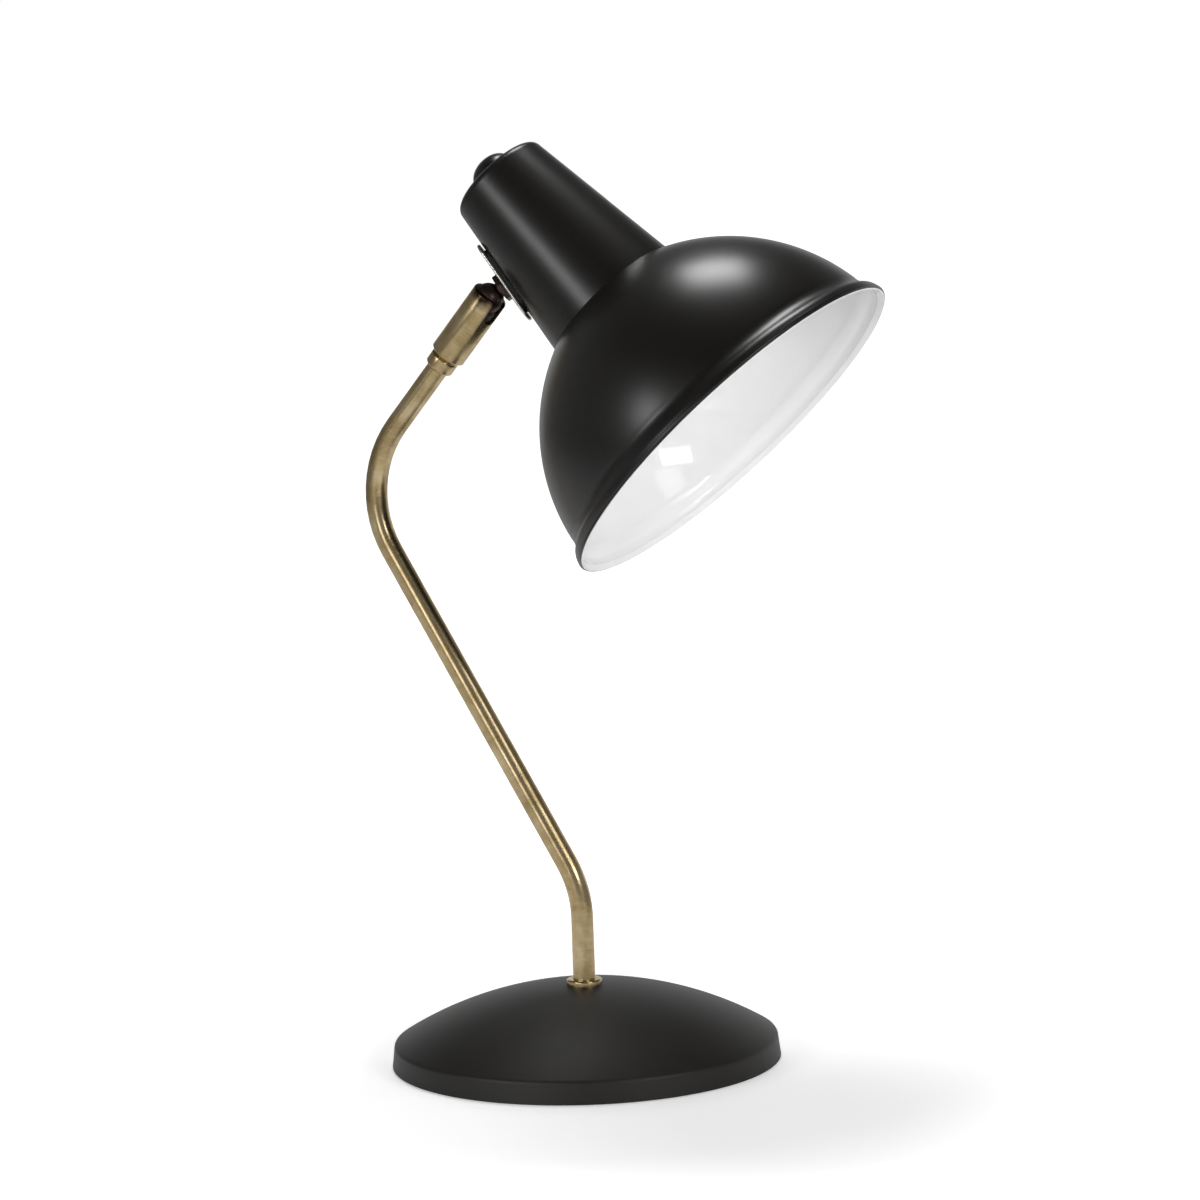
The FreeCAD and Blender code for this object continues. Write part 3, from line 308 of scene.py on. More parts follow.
@dataclass(frozen=True)
class AntiqueBrass(Finish):
    """Brass that was brushed round, darkened in a bath and rubbed back: fine dark lines in a warm grey gold.

    The brush lines are about 0.05 mm wide on the lamp and drawn three times as coarse, to show.
    """

    light: str = "#d6c49c"
    middle: str = "#c4ae84"
    dark: str = "#ab966b"
    roughness: tuple[float, float] = (0.29, 0.2)
    roughness_span: tuple[float, float] = (0.35, 0.65)
    line_mm: float = 0.16
    line_length_mm: float = 14.0
    line_depth_mm: float = 0.001
    line_share: float = 0.3
    stain_mm: float = 9.0
    patina_from_mm: float | None = None
    patina_to_mm: float = 0.0
    patina_drift_mm: float = 2.2
    patina: str = "#3a2d23"

    def material(self) -> bpy.types.Material:
        """Build the brass.

        Returns:
            Its material.
        """
        material, shader = new_material(self.name, Metallic=1.0)
        tree = material.node_tree
        length = self.line_length_mm
        lines = self.pattern(tree, length, length, self.line_mm, detail=4.0, local=True)
        stain = self.pattern(tree, self.stain_mm, local=True)
        tone = add_node(tree, "ShaderNodeMix", {"Factor": 1 - self.line_share, "A": lines, "B": stain})
        colour = self.follow(shader, tone.outputs["Result"],
                             [(0.36, self.dark), (0.5, self.middle), (0.66, self.light)], self.roughness,
                             self.roughness_span, (lines, self.line_depth_mm))
        if self.patina_from_mm is not None:
            self.darken(shader, colour, stain)
        return material

    def darken(self, shader: bpy.types.Node, colour: Socket, stain: Socket) -> None:
        """Darken the brass towards its top, with an uneven edge.

        Args:
            shader: The brass's shader.
            colour: Its colour so far.
            stain: The pattern that the edge wanders with.
        """
        tree = shader.id_data
        place = add_node(tree, "ShaderNodeAttribute", attribute_name="local").outputs["Vector"]
        height = add_node(tree, "ShaderNodeSeparateXYZ", {"Vector": place}).outputs["Z"]
        low, high = NOISE_SPAN
        drift = add_node(tree, "ShaderNodeMapRange", {
            "Value": stain, "From Min": low, "From Max": high,
            "To Min": -self.patina_drift_mm, "To Max": self.patina_drift_mm})
        uneven = add_node(tree, "ShaderNodeMath", {0: height, 1: drift.outputs["Result"]}, operation="ADD")
        share = add_node(tree, "ShaderNodeMapRange", {
            "Value": uneven.outputs["Value"], "From Min": self.patina_from_mm, "From Max": self.patina_to_mm})
        darkened = add_node(tree, "ShaderNodeMix", {
            "Factor": share.outputs["Result"], "A": colour, "B": linear(self.patina)}, data_type="RGBA")
        tree.links.new(darkened.outputs["Result"], shader.inputs["Base Color"])


@dataclass(frozen=True)
class WorkedMetal(Finish):
    """Metal with a bare, plated or blacked skin: it mirrors softly, and faint marks of handling cloud it."""

    colour: str
    stained: str
    roughness: tuple[float, float]
    mark_mm: float = 2.5
    mark_depth_mm: float = 0.0008

    def material(self) -> bpy.types.Material:
        """Build the plating.

        Returns:
            Its material.
        """
        material, shader = new_material(self.name, Metallic=1.0)
        mark = self.pattern(material.node_tree, self.mark_mm, detail=5.0)
        self.follow(shader, mark, [(0.38, self.colour), (0.72, self.stained)], self.roughness, NOISE_SPAN,
                    (mark, self.mark_depth_mm))
        return material


@dataclass(frozen=True)
class Moulding(Finish):
    """A solid skin that isn't bare metal: plastic, rubber, foam, black glass or paint on cast iron.

    Its grain breaks the highlights up, the more so the deeper it is.
    """

    colour: str
    worn: str
    roughness: tuple[float, float]
    grain_mm: float
    grain_depth_mm: float

    def material(self) -> bpy.types.Material:
        """Build the moulding's surface.

        Returns:
            Its material.
        """
        material, shader = new_material(self.name)
        grain = self.pattern(material.node_tree, self.grain_mm, detail=4.0)
        self.follow(shader, grain, [(0.35, self.colour), (0.75, self.worn)], self.roughness, NOISE_SPAN,
                    (grain, self.grain_depth_mm))
        return material


@dataclass(frozen=True)
class OpalGlass(Finish):
    """The bulb's glass, white-coated on the inside: a soft body under a clear gloss."""

    colour: str = "#f1efea"
    shaded: str = "#e6e3dc"
    cloud_mm: float = 14.0
    roughness: float = 0.28
    gloss_roughness: float = 0.04
    depth_mm: float = 4.0
    depth_share: float = 0.25

    def material(self) -> bpy.types.Material:
        """Build the glass.

        Returns:
            Its material.
        """
        material, shader = new_material(self.name, Roughness=self.roughness, Coat_Weight=1.0,
                                        Coat_Roughness=self.gloss_roughness,
                                        Subsurface_Weight=self.depth_share,
                                        Subsurface_Scale=self.depth_mm * MM)
        cloud = self.pattern(material.node_tree, self.cloud_mm, detail=2.0)
        self.follow(shader, cloud, [(0.3, self.colour), (0.8, self.shaded)])
        return material


class Outline:
    """A wire outline in the XZ plane, in millimetres, which bmesh operators draw and turn."""

    def __init__(self, x: float, z: float) -> None:
        """Start the outline at a point.

        Args:
            x: The point's distance from the axis.
            z: The point's height.
        """
        self.mesh = bmesh.new()
        self.start = self.end = self.mesh.verts.new((x, 0, z))
        self.roundings: list[tuple[bmesh.types.BMVert, float, int]] = []

    def line(self, x: float, z: float, rounding: float = 0.0, segments: int = 5) -> Outline:
        """Draw a straight run, whose end may be rounded.

        Args:
            x: The end's distance from the axis.
            z: The end's height.
            rounding: The radius of the corner at the end.
            segments: How many edges the rounding gets.

        Returns:
            The outline itself.
        """
        self.end = bmesh.ops.extrude_vert_indiv(self.mesh, verts=[self.end])["verts"][0]
        self.end.co = (x, 0, z)
        if rounding:
            self.roundings.append((self.end, rounding, segments))
        return self

    def arc(self, x: float, z: float, radius: float, bow: Bow, steps: int) -> Outline:
        """Draw the shorter arc of a radius.

        Args:
            x: The end's distance from the axis.
            z: The end's height.
            radius: The arc's radius.
            bow: The side of the way on which the arc's centre lies.
            steps: How many edges the arc gets.

        Returns:
            The outline itself.
        """
        here, there = self.end.co.copy(), Vector((x, 0, z))
        chord = there - here
        across = Vector((-chord.z, 0, chord.x)).normalized() * bow.value
        rise = math.sqrt(max(radius**2 - chord.length_squared / 4, 0))
        angle = 2 * math.asin(min(1.0, chord.length / 2 / radius))
        swept = bmesh.ops.spin(self.mesh, geom=[self.end], cent=(here + there) / 2 + across * rise,
                               axis=(0, -bow.value, 0), dvec=(0, 0, 0), angle=angle, steps=steps,
                               use_merge=False, use_duplicate=False)
        self.end = next(item for item in swept["geom_last"] if isinstance(item, bmesh.types.BMVert))
        self.end.co = there
        return self

    def closed(self) -> Outline:
        """Join the outline's end to its start."""
        self.mesh.edges.new((self.end, self.start))
        return self

    def turned(self, steps: int = 128) -> Mesh:
        """Round the marked corners and turn the outline about the Z axis.

        Args:
            steps: How many faces go round.

        Returns:
            The closed mesh, in millimetres.
        """
        for corner, radius, segments in self.roundings:
            ways = [edge.other_vert(corner).co - corner.co for edge in corner.link_edges]
            reach = radius / math.tan(ways[0].angle(ways[1]) / 2)
            bmesh.ops.bevel(self.mesh, geom=[corner], offset=reach, affect="VERTICES", segments=segments,
                            profile=0.5, material=-1)
        bmesh.ops.spin(self.mesh, geom=self.mesh.verts[:] + self.mesh.edges[:], cent=(0, 0, 0),
                       axis=(0, 0, 1), dvec=(0, 0, 0), angle=FULL_TURN, steps=steps, use_merge=True,
                       use_duplicate=False)
        return cleaned(self.mesh)


def cleaned(mesh: Mesh) -> Mesh:
    """Merge a mesh's doubles, drop collapsed faces and point its faces outwards.

    Args:
        mesh: The mesh to clean.

    Returns:
        The same mesh.
    """
    bmesh.ops.remove_doubles(mesh, verts=mesh.verts[:], dist=DOUBLE_MM)
    bmesh.ops.dissolve_degenerate(mesh, edges=mesh.edges[:], dist=COLLAPSED_MM)
    bmesh.ops.recalc_face_normals(mesh, faces=mesh.faces[:])
    return mesh


def rod(radius: float, low: float, length: float, x: float = 0.0, sides: int = 64,
        top: float | None = None) -> Mesh:
    """Draw a bar or cone along Z.

    Args:
        radius: Its radius over the corners at the low end.
        low: Height of its low end.
        length: Its length.
        x: How far it stands beside the axis.
        sides: How many faces go round.
        top: Its radius at the far end, if that differs.

    Returns:
        The closed mesh, in millimetres.
    """
    mesh = bmesh.new()
    bmesh.ops.create_cone(mesh, cap_ends=True, segments=sides, radius1=radius,
                          radius2=radius if top is None else top, depth=length,
                          matrix=Matrix.Translation((x, 0, low + length / 2)))
    return mesh


def as_object(mesh: Mesh, name: str = "blank") -> bpy.types.Object:
    """Put a mesh in the scene as an object.

    Args:
        mesh: The mesh; it is freed.
        name: The object's name.

    Returns:
        The object.
    """
    data = bpy.data.meshes.new(name)
    mesh.to_mesh(data)
    mesh.free()
    item = bpy.data.objects.new(name, data)
    bpy.context.scene.collection.objects.link(item)
    return item


def carved(mesh: Mesh, *tools: Mesh) -> Mesh:
    """Cut tools out of a mesh.

    Args:
        mesh: The mesh to cut; it is freed.
        *tools: Closed meshes in the same frame; they are freed.

    Returns:
        What is left.
    """
    blank = as_object(mesh)
    cutters = [as_object(tool) for tool in tools]
    for cutter in cutters:
        cut = blank.modifiers.new("cut", "BOOLEAN")
        cut.operation = "DIFFERENCE"
        cut.solver = "EXACT"
        cut.object = cutter
    bpy.context.view_layer.update()
    data = bpy.data.meshes.new_from_object(blank.evaluated_get(bpy.context.evaluated_depsgraph_get()))
    result = bmesh.new()
    result.from_mesh(data)
    bpy.data.meshes.remove(data)
    for item in (blank, *cutters):
        old = item.data
        bpy.data.objects.remove(item)
        bpy.data.meshes.remove(old)
    bmesh.ops.recalc_face_normals(result, faces=result.faces[:])
    return result


def softened(mesh: Mesh, width: float, angle: float = 40.0, segments: int = 2) -> Mesh:
    """Bevel a mesh's sharp edges.

    Args:
        mesh: The mesh to bevel.
        width: The bevel's width.
        angle: Edges that turn by more than this many degrees are bevelled.
        segments: How many faces each bevel gets.

    Returns:
        The same mesh.
    """
    limit = math.radians(angle)
    sharp = [edge for edge in mesh.edges if len(edge.link_faces) == 2 and edge.calc_face_angle() > limit]
    bmesh.ops.bevel(mesh, geom=sharp, offset=width, affect="EDGES", segments=segments, profile=0.5,
                    material=-1, clamp_overlap=True)
    return cleaned(mesh)


@dataclass(frozen=True)
class Frames:
    """The lamp's local frames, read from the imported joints; each turns millimetres into the row frame."""

    base: Matrix
    socket: Matrix
    head: Matrix
    neck: Matrix

    @classmethod
    def read(cls, joints: list[dict], slot_turn: float = 15.0, across: float = 39.835,
             behind: float = 121.179) -> Frames:
        """Work the frames out.

        Args:
            joints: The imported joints.
            slot_turn: How far the socket's slot is turned, in degrees.
            across: How far the ball lies beside the head's axis.
            behind: How far the ball lies behind the shade's mouth.

        Returns:
            The frames.
        """
        facts = {joint["name"]: joint for joint in joints}
        ball = Vector(facts["socket_pan"]["pos_m"])
        stem_way = Vector(facts["socket_pan"]["axis"])
        neck_way = Vector(facts["head_roll"]["axis"])
        back = -Vector(facts["button_press"]["axis"])
        side = (neck_way - back * neck_way.dot(back)).normalized()
        down_neck = (neck_way * neck_way.dot(back) - back).normalized()
        stem_top = cls.stand(ball - stem_way * BALL_PLACE * MM, Vector((0, 1, 0)).cross(stem_way), stem_way)
        return cls(
            base=cls.stand(Vector(), Vector((1, 0, 0)), Vector((0, 0, 1))),
            socket=stem_top @ Matrix.Rotation(math.radians(-slot_turn), 4, "Z"),
            head=cls.stand(ball + (side * across - back * behind) * MM, side, back),
            neck=cls.stand(ball, down_neck, neck_way))

    @staticmethod
    def stand(origin: Vector, x_way: Vector, z_way: Vector) -> Matrix:
        """Stand a frame, with the millimetre scale in it, on its origin, X way and Z way."""
        turn = Matrix((x_way, z_way.cross(x_way), z_way)).transposed().to_4x4()
        return Matrix.Translation(origin) @ turn @ Matrix.Scale(MM, 4)


class Workshop:
    """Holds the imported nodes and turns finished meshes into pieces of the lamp."""

    def __init__(self, frame: dict, frames: Frames) -> None:
        """Keep what the sub-assemblies need.

        Args:
            frame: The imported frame.
            frames: The lamp's local frames.
        """
        self.nodes = frame["nodes"]
        self.frames = frames
        self.slots = {part["node"]: part["material_slot"] for part in frame["record"]["subparts"]}
        self.finished: dict[Finish, bpy.types.Material] = {}

    def finish(self, finish: Finish) -> bpy.types.Material:
        """Make a finish's material, once.

        Args:
            finish: The finish.

        Returns:
            Its material.
        """
        if finish not in self.finished:
            self.finished[finish] = finish.material()
        return self.finished[finish]

    def dress(self, node: str, finish: Finish) -> None:
        """Give a CAD node a finish."""
        self.nodes[node].material_slots[0].material = self.finish(finish)
        LOG.info("dressed %s", node)

    def piece(self, name: str, mesh: Mesh, frame: Matrix, finishes: list[Finish], body: str,
              *nodes: str, pick: Callable[[bmesh.types.BMFace], int] | None = None) -> None:
        """Turn a mesh into a piece that rides on a body and stands for CAD nodes.

        Args:
            name: The piece's name.
            mesh: Its mesh, in millimetres in its own frame; it is freed.
            frame: The frame that it stands in.
            finishes: Its finishes, in slot order.
            body: The body that carries it.
            *nodes: The CAD nodes that it stands for, which are hidden.
            pick: Gives a face's finish number, from the face in its own frame.
        """
        layers = mesh.verts.layers.float_vector
        if "local" not in layers.keys():
            place = layers.new("local")
            for vert in mesh.verts:
                vert[place] = vert.co
        for face in mesh.faces:
            face.smooth = True
            face.material_index = pick(face) if pick else 0
        for edge in mesh.edges:
            edge.smooth = len(edge.link_faces) != 2 or edge.calc_face_angle() < math.radians(CREASE)
        mesh.transform(frame)
        piece = as_object(mesh, name)
        for finish in finishes:
            piece.data.materials.append(self.finish(finish))
        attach(piece, body)
        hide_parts(*nodes)
        LOG.info("made %s for %s, %d faces", name, ", ".join(nodes), len(piece.data.polygons))


# Lathe-brushed brass: the highlights lie across its rings.
BRASS = AntiqueBrass("brushed_brass_round")
# The same, left dark round the mouth, where no cloth rubbed the bath's black off.
BRASS_SOCKET = AntiqueBrass("brushed_brass_socket", patina_from_mm=107.5, patina_to_mm=112.0)
# Fine powder, sprayed and baked: black with soft, broad highlights.
PAINT = PowderCoat("satin_black_powder_coat", (0.31, 0.35))
# Coarser powder on the foot: duller. Its slightly paler colour is painted sheen, standing in for the foot's
# broad soft highlight.
BASE_PAINT = PowderCoat("matt_black_powder_coat_painted_sheen", (0.46, 0.52), "#151311", "#191715")
# Sprayed and fired: a white that mirrors softly.
ENAMEL = GlossEnamel("gloss_white_enamel")
# Blacked in a hot bath: brown grey with dull lights.
GUNMETAL = WorkedMetal("gunmetal_steel", "#574b45", "#3d3430", (0.34, 0.48))
# Polished, then plated with nickel: bright and slightly warm.
NICKEL = WorkedMetal("bright_nickel_plate", "#dddad5", "#c9c5be", (0.2, 0.32))
# Zinc plated in a drum: pale grey and half bright.
ZINC = WorkedMetal("bright_zinc_plate", "#a9aaa8", "#8f908f", (0.3, 0.45))
# Stamped sheet, left bare: yellow, slightly dull.
CONTACT_BRASS = WorkedMetal("bare_contact_brass", "#c8ab6a", "#a98d52", (0.25, 0.4))
# Drawn wire, tempered and oiled: mid grey with narrow lights.
SPRING_STEEL = WorkedMetal("bright_spring_steel", "#9a9a98", "#7d7d7b", (0.25, 0.4))
# Rolled brass under thin nickel: a warmer, duller grey than the strap.
CAP_METAL = WorkedMetal("nickelled_cap_brass", "#b9b6ae", "#a19d93", (0.22, 0.36))
# A drop that set by itself: soft grey.
SOLDER = WorkedMetal("tin_solder", "#a6a8aa", "#8b8d8f", (0.35, 0.55))
# Cast in sand and brushed with paint: dark, grainy and dull.
BALLAST_IRON = Moulding("painted_cast_iron", "#2a2a29", "#3a3836", (0.6, 0.8), 2.2, 0.12)
# Cut from a sheet of foam: open pores and no gloss.
PAD_RUBBER = Moulding("black_foam_rubber", "#222221", "#2d2c2b", (0.85, 0.95), 0.7, 0.06)
# Pressed in a mould: black with a faint sheen.
SADDLE_RUBBER = Moulding("black_saddle_rubber", "#1f1f1e", "#292827", (0.7, 0.85), 0.9, 0.03)
# Injected into a polished mould: smooth and half glossy.
BLACK_PLASTIC = Moulding("black_plastic", "#171716", "#1e1d1c", (0.32, 0.42), 0.6, 0.006)
# Turned from acetal rod: smooth and a little waxy.
SEAT_PLASTIC = Moulding("black_seat_acetal", "#191817", "#22201f", (0.4, 0.5), 0.8, 0.006)
# Pressed from hot powder: a warm white, half glossy.
HOLDER_PLASTIC = Moulding("white_holder_thermoset", "#dad8d3", "#cfccc6", (0.3, 0.42), 0.7, 0.008)
# Injected and finely blasted: as satin as the cup's paint.
BUTTON_PLASTIC = Moulding("satin_black_button", "#100f0f", "#151414", (0.28, 0.34), 3.0, 0.003)
# Poured into the cap while hot: black with a hard gloss.
CAP_GLASS = Moulding("black_cap_glass", "#0d0d0f", "#151517", (0.08, 0.16), 1.0, 0.004)
# Blown, then dusted white inside.
GLASS = OpalGlass("opal_bulb_glass")

PLAIN_NODES = {
    "base_cover": BASE_PAINT, "base_weight": BALLAST_IRON, "bottom_pad": PAD_RUBBER,
    "cord_bushing": BLACK_PLASTIC, "foot_washer": ZINC, "lock_washer": SPRING_STEEL, "foot_nut": ZINC,
    "pivot_nut": ZINC, "spring_washer": ZINC, "friction_spring": SPRING_STEEL, "friction_seat": SEAT_PLASTIC,
    "strap_screws": NICKEL, "strap_nuts": ZINC, "neck_washer": ZINC, "neck_nut": ZINC,
    "saddle_pad": SADDLE_RUBBER, "holder_bracket": ZINC, "lampholder": HOLDER_PLASTIC,
    "shade_ring": HOLDER_PLASTIC, "screw_shell": CONTACT_BRASS, "centre_contact": CONTACT_BRASS,
    "terminal_screws": CONTACT_BRASS, "bulb_cap": CAP_METAL, "bulb_insulator": CAP_GLASS,
    "bulb_contact": SOLDER, "switch_body": BLACK_PLASTIC, "button_spring": SPRING_STEEL}


@dataclass
class Stem:
    """The cranked brass tube from under the base to the socket, its seat on the base and its top ring."""

    shop: Workshop
    foot: float = 4.0
    rise: float = 78.9
    lower_lean: float = 30.57
    lower_run: float = 211.1
    upper_lean: float = 40.05
    bend: float = 50.0
    radius: float = 5.0
    bore: float = 4.0
    end: float = 92.0
    sides: int = 64
    bend_steps: int = 12
    run_steps: int = 6
    crown: float = 35.0
    seat_radius: float = 8.1
    seat_height: float = 2.6
    seat_round: float = 0.9
    collar_radius: float = 6.7
    collar_start: float = 69.7
    collar_length: float = 6.9
    collar_bevel: float = 1.0
    collar_edge: float = 0.15

    def route(self) -> list[tuple[Vector, float]]:
        """Find the corners after the foot.

        Returns:
            Each corner with the turn there in degrees.
        """
        lean, tilt = math.radians(self.lower_lean), math.radians(self.upper_lean)
        bottom = Vector((0, 0, self.rise))
        knee = Vector((-self.lower_run * math.sin(lean), 0, self.rise + self.lower_run * math.cos(lean)))
        top = knee + Vector((math.sin(tilt), 0, math.cos(tilt))) * self.end
        return [(bottom, -self.lower_lean), (knee, self.lower_lean + self.upper_lean), (top, 0.0)]

    def sweep(self, radius: float) -> Mesh:
        """Sweep an open skin along the route.

        Args:
            radius: The skin's radius.

        Returns:
            The skin, with its straightened place in the "local" attribute.
        """
        mesh = bmesh.new()
        local = mesh.verts.layers.float_vector.new("local")
        here, lean, run = Vector((0, 0, self.foot)), 0.0, 0.0
        bmesh.ops.create_circle(mesh, segments=self.sides, radius=radius, matrix=Matrix.Translation(here))
        ring = mesh.edges[:]
        for vert in mesh.verts:
            vert[local] = (vert.co.x, vert.co.y, 0)
        for corner, turn in self.route():
            cut = self.bend * math.tan(math.radians(abs(turn)) / 2)
            way = Vector((math.sin(lean), 0, math.cos(lean)))
            length = (corner - here).dot(way) - cut
            for _ in range(self.run_steps):
                run += length / self.run_steps
                ring = self.advance(mesh, ring, Matrix.Translation(way * length / self.run_steps), run)
            here += way * length
            side = Vector((math.cos(lean), 0, -math.sin(lean))) * math.copysign(self.bend, turn)
            step = math.radians(turn) / self.bend_steps
            spin = (Matrix.Translation(here + side) @ Matrix.Rotation(step, 4, "Y")
                    @ Matrix.Translation(-here - side))
            for _ in range(self.bend_steps if turn else 0):
                run += self.bend * abs(step)
                ring = self.advance(mesh, ring, spin, run)
                here = spin @ here
            lean += math.radians(turn)
        return mesh

    @staticmethod
    def advance(mesh: Mesh, ring: list[bmesh.types.BMEdge], move: Matrix,
                run: float) -> list[bmesh.types.BMEdge]:
        """Extrude the last ring, move it on and note how far along it lies.

        Args:
            mesh: The skin.
            ring: The edges of its last ring.
            move: Where the new ring goes from there.
            run: The new ring's distance along the tube.

        Returns:
            The edges of the new ring.
        """
        local = mesh.verts.layers.float_vector["local"]
        grown = bmesh.ops.extrude_edge_only(mesh, edges=ring)["geom"]
        verts = [item for item in grown if isinstance(item, bmesh.types.BMVert)]
        bmesh.ops.transform(mesh, matrix=move, verts=verts)
        for vert in verts:
            vert[local].z = run
        return [item for item in grown if isinstance(item, bmesh.types.BMEdge)]

    def build(self) -> None:
        """Sweep the tube and turn its seat and ring."""
        shop, frames = self.shop, self.shop.frames
        skin = self.sweep(self.radius)
        bmesh.ops.recalc_face_normals(skin, faces=skin.faces[:])
        bmesh.ops.solidify(skin, geom=skin.faces[:], thickness=self.radius - self.bore)
        shop.piece("stem", cleaned(skin), frames.base, [BRASS], "stand", "stem_tube")
        top = self.crown + self.seat_height
        seat = Outline(self.radius, self.crown).line(self.seat_radius, self.crown)
        seat.line(self.seat_radius, top, self.seat_round).line(self.radius, top).closed()
        shop.piece("stem_seat", seat.turned(), frames.base, [BRASS], "stand", "seat_ring")
        low, high, bevel = self.collar_start, self.collar_start + self.collar_length, self.collar_bevel
        outline = Outline(self.radius, low).line(self.collar_radius - bevel, low)
        outline.line(self.collar_radius, low + bevel).line(self.collar_radius, high - bevel)
        outline.line(self.collar_radius - bevel, high).line(self.radius, high).closed()
        collar = softened(outline.turned(steps=96), self.collar_edge, angle=25)
        shop.piece("stem_collar", collar, frames.socket, [BRASS], "stand", "collar_ring")


@dataclass
class Swivel:
    """The slotted socket and the ball, neck, nut and strap that turn in it and carry the cup."""

    shop: Workshop
    tube: float = 5.06
    start: float = 76.9
    end: float = 113.2
    radius: float = 8.25
    bevel: float = 1.3
    round_over: float = 1.2
    edge: float = 0.25
    floor: float = 88.0
    slot_half: float = 3.9
    slot_bottom: float = 101.9
    ball_seat: float = 7.06
    ball: float = 7.0
    bore: float = 2.3
    neck: float = 3.6
    neck_end: float = 20.0
    neck_round: float = 0.4
    hole: float = 3.7
    nut_across: float = 12.0
    nut_thick: float = 2.5
    nut_edge: float = 0.35
    strap_place: float = 9.15
    strap_length: float = 42.0
    strap_width: float = 14.0
    strap_thick: float = 1.6
    strap_shift: float = 1.5
    strap_round: float = 0.76
    strap_sides: int = 96
    screw_spacing: float = 29.0
    screw_head: float = 2.9
    screw: float = 1.6
    overrun: float = 5.0

    def socket(self) -> Mesh:
        """Turn the socket and cut the slot that lets the neck lie over.

        Returns:
            The closed mesh, in millimetres.
        """
        mouth = math.sqrt(self.ball_seat**2 - (self.end - BALL_PLACE) ** 2)
        outline = Outline(self.tube, self.start).line(self.radius - self.bevel, self.start)
        outline.line(self.radius, self.start + self.bevel)
        outline.line(self.radius, self.end, self.round_over, segments=6)
        outline.line(mouth, self.end).arc(self.ball_seat, BALL_PLACE, self.ball_seat, Bow.RIGHT, steps=6)
        outline.line(self.ball_seat, self.floor).line(self.tube, self.floor).closed()
        reach, centre = self.radius + self.overrun, self.slot_bottom + self.slot_half
        height = self.end + self.overrun - centre
        spot = Matrix.Translation((self.radius / 2, 0, centre))
        drill = rod(self.slot_half, -reach / 2, reach)
        drill.transform(spot @ Matrix.Rotation(math.pi / 2, 4, "Y"))
        slot = bmesh.new()
        spot = Matrix.Translation((self.radius / 2, 0, centre + height / 2))
        size = Matrix.Diagonal((reach, 2 * self.slot_half, height, 1))
        bmesh.ops.create_cube(slot, size=1.0, matrix=spot @ size)
        return softened(carved(outline.turned(steps=144), drill, slot), self.edge)

    def strap(self) -> Mesh:
        """Draw the round-ended strap, and cut its stud hole and countersinks.

        Returns:
            The closed mesh, in millimetres.
        """
        half, middle = self.strap_width / 2, -self.strap_shift
        reach = self.strap_length / 2 - half
        # Pulling the circle apart leaves its two points on the middle line where they are.
        clear = half * math.sin(math.pi / self.strap_sides)
        mesh = bmesh.new()
        bmesh.ops.create_circle(mesh, cap_ends=True, segments=self.strap_sides, radius=half,
                                matrix=Matrix.Translation((middle, 0, self.strap_place)))
        for side in SIDES:
            end = [vert for vert in mesh.verts if (vert.co.x - middle) * side > clear]
            bmesh.ops.translate(mesh, verts=end, vec=(side * reach, 0, 0))
        raised = bmesh.ops.extrude_face_region(mesh, geom=mesh.faces[:], use_keep_orig=True)["geom"]
        bmesh.ops.translate(mesh, verts=[item for item in raised if isinstance(item, bmesh.types.BMVert)],
                            vec=(0, 0, self.strap_thick))
        softened(cleaned(mesh), self.strap_round, segments=8)
        stud = rod(self.hole, self.strap_place - self.overrun, 2 * self.overrun + self.strap_thick)
        sinks = [rod(self.screw_head, self.strap_place, self.strap_thick,
                     x=middle + side * self.screw_spacing / 2, top=self.screw) for side in SIDES]
        return carved(mesh, stud, *sinks)

    def build(self) -> None:
        """Make the socket, ball, neck, nut and strap."""
        shop, frames = self.shop, self.shop.frames
        shop.piece("swivel_socket_shell", self.socket(), frames.socket, [BRASS_SOCKET], "socket",
                   "swivel_socket")
        flat = math.sqrt(self.ball**2 - self.hole**2)
        back = -math.sqrt(self.ball**2 - self.bore**2)
        ball = Outline(self.bore, back).arc(self.ball, 0, self.ball, Bow.LEFT, steps=24)
        ball.arc(self.hole, flat, self.ball, Bow.LEFT, steps=24).line(self.bore, flat).closed()
        shop.piece("swivel_ball_skin", ball.turned(), frames.neck, [GUNMETAL], "ball", "swivel_ball")
        neck = Outline(self.bore, flat).line(self.neck, flat)
        neck.line(self.neck, self.neck_end, self.neck_round, segments=3)
        neck.line(self.bore, self.neck_end).closed()
        shop.piece("swivel_neck_tube", neck.turned(steps=96), frames.neck, [GUNMETAL], "head", "swivel_neck")
        low = self.strap_place - self.nut_thick
        blank = rod(self.nut_across / math.sqrt(3), low, self.nut_thick, sides=6)
        bore = rod(self.hole, low - self.overrun, self.nut_thick + 2 * self.overrun)
        nut = carved(softened(blank, self.nut_edge), bore)
        shop.piece("lock_nut", nut, frames.neck, [GUNMETAL], "head", "neck_lock_nut")
        shop.piece("strap", self.strap(), frames.neck, [NICKEL], "head", "mount_strap")


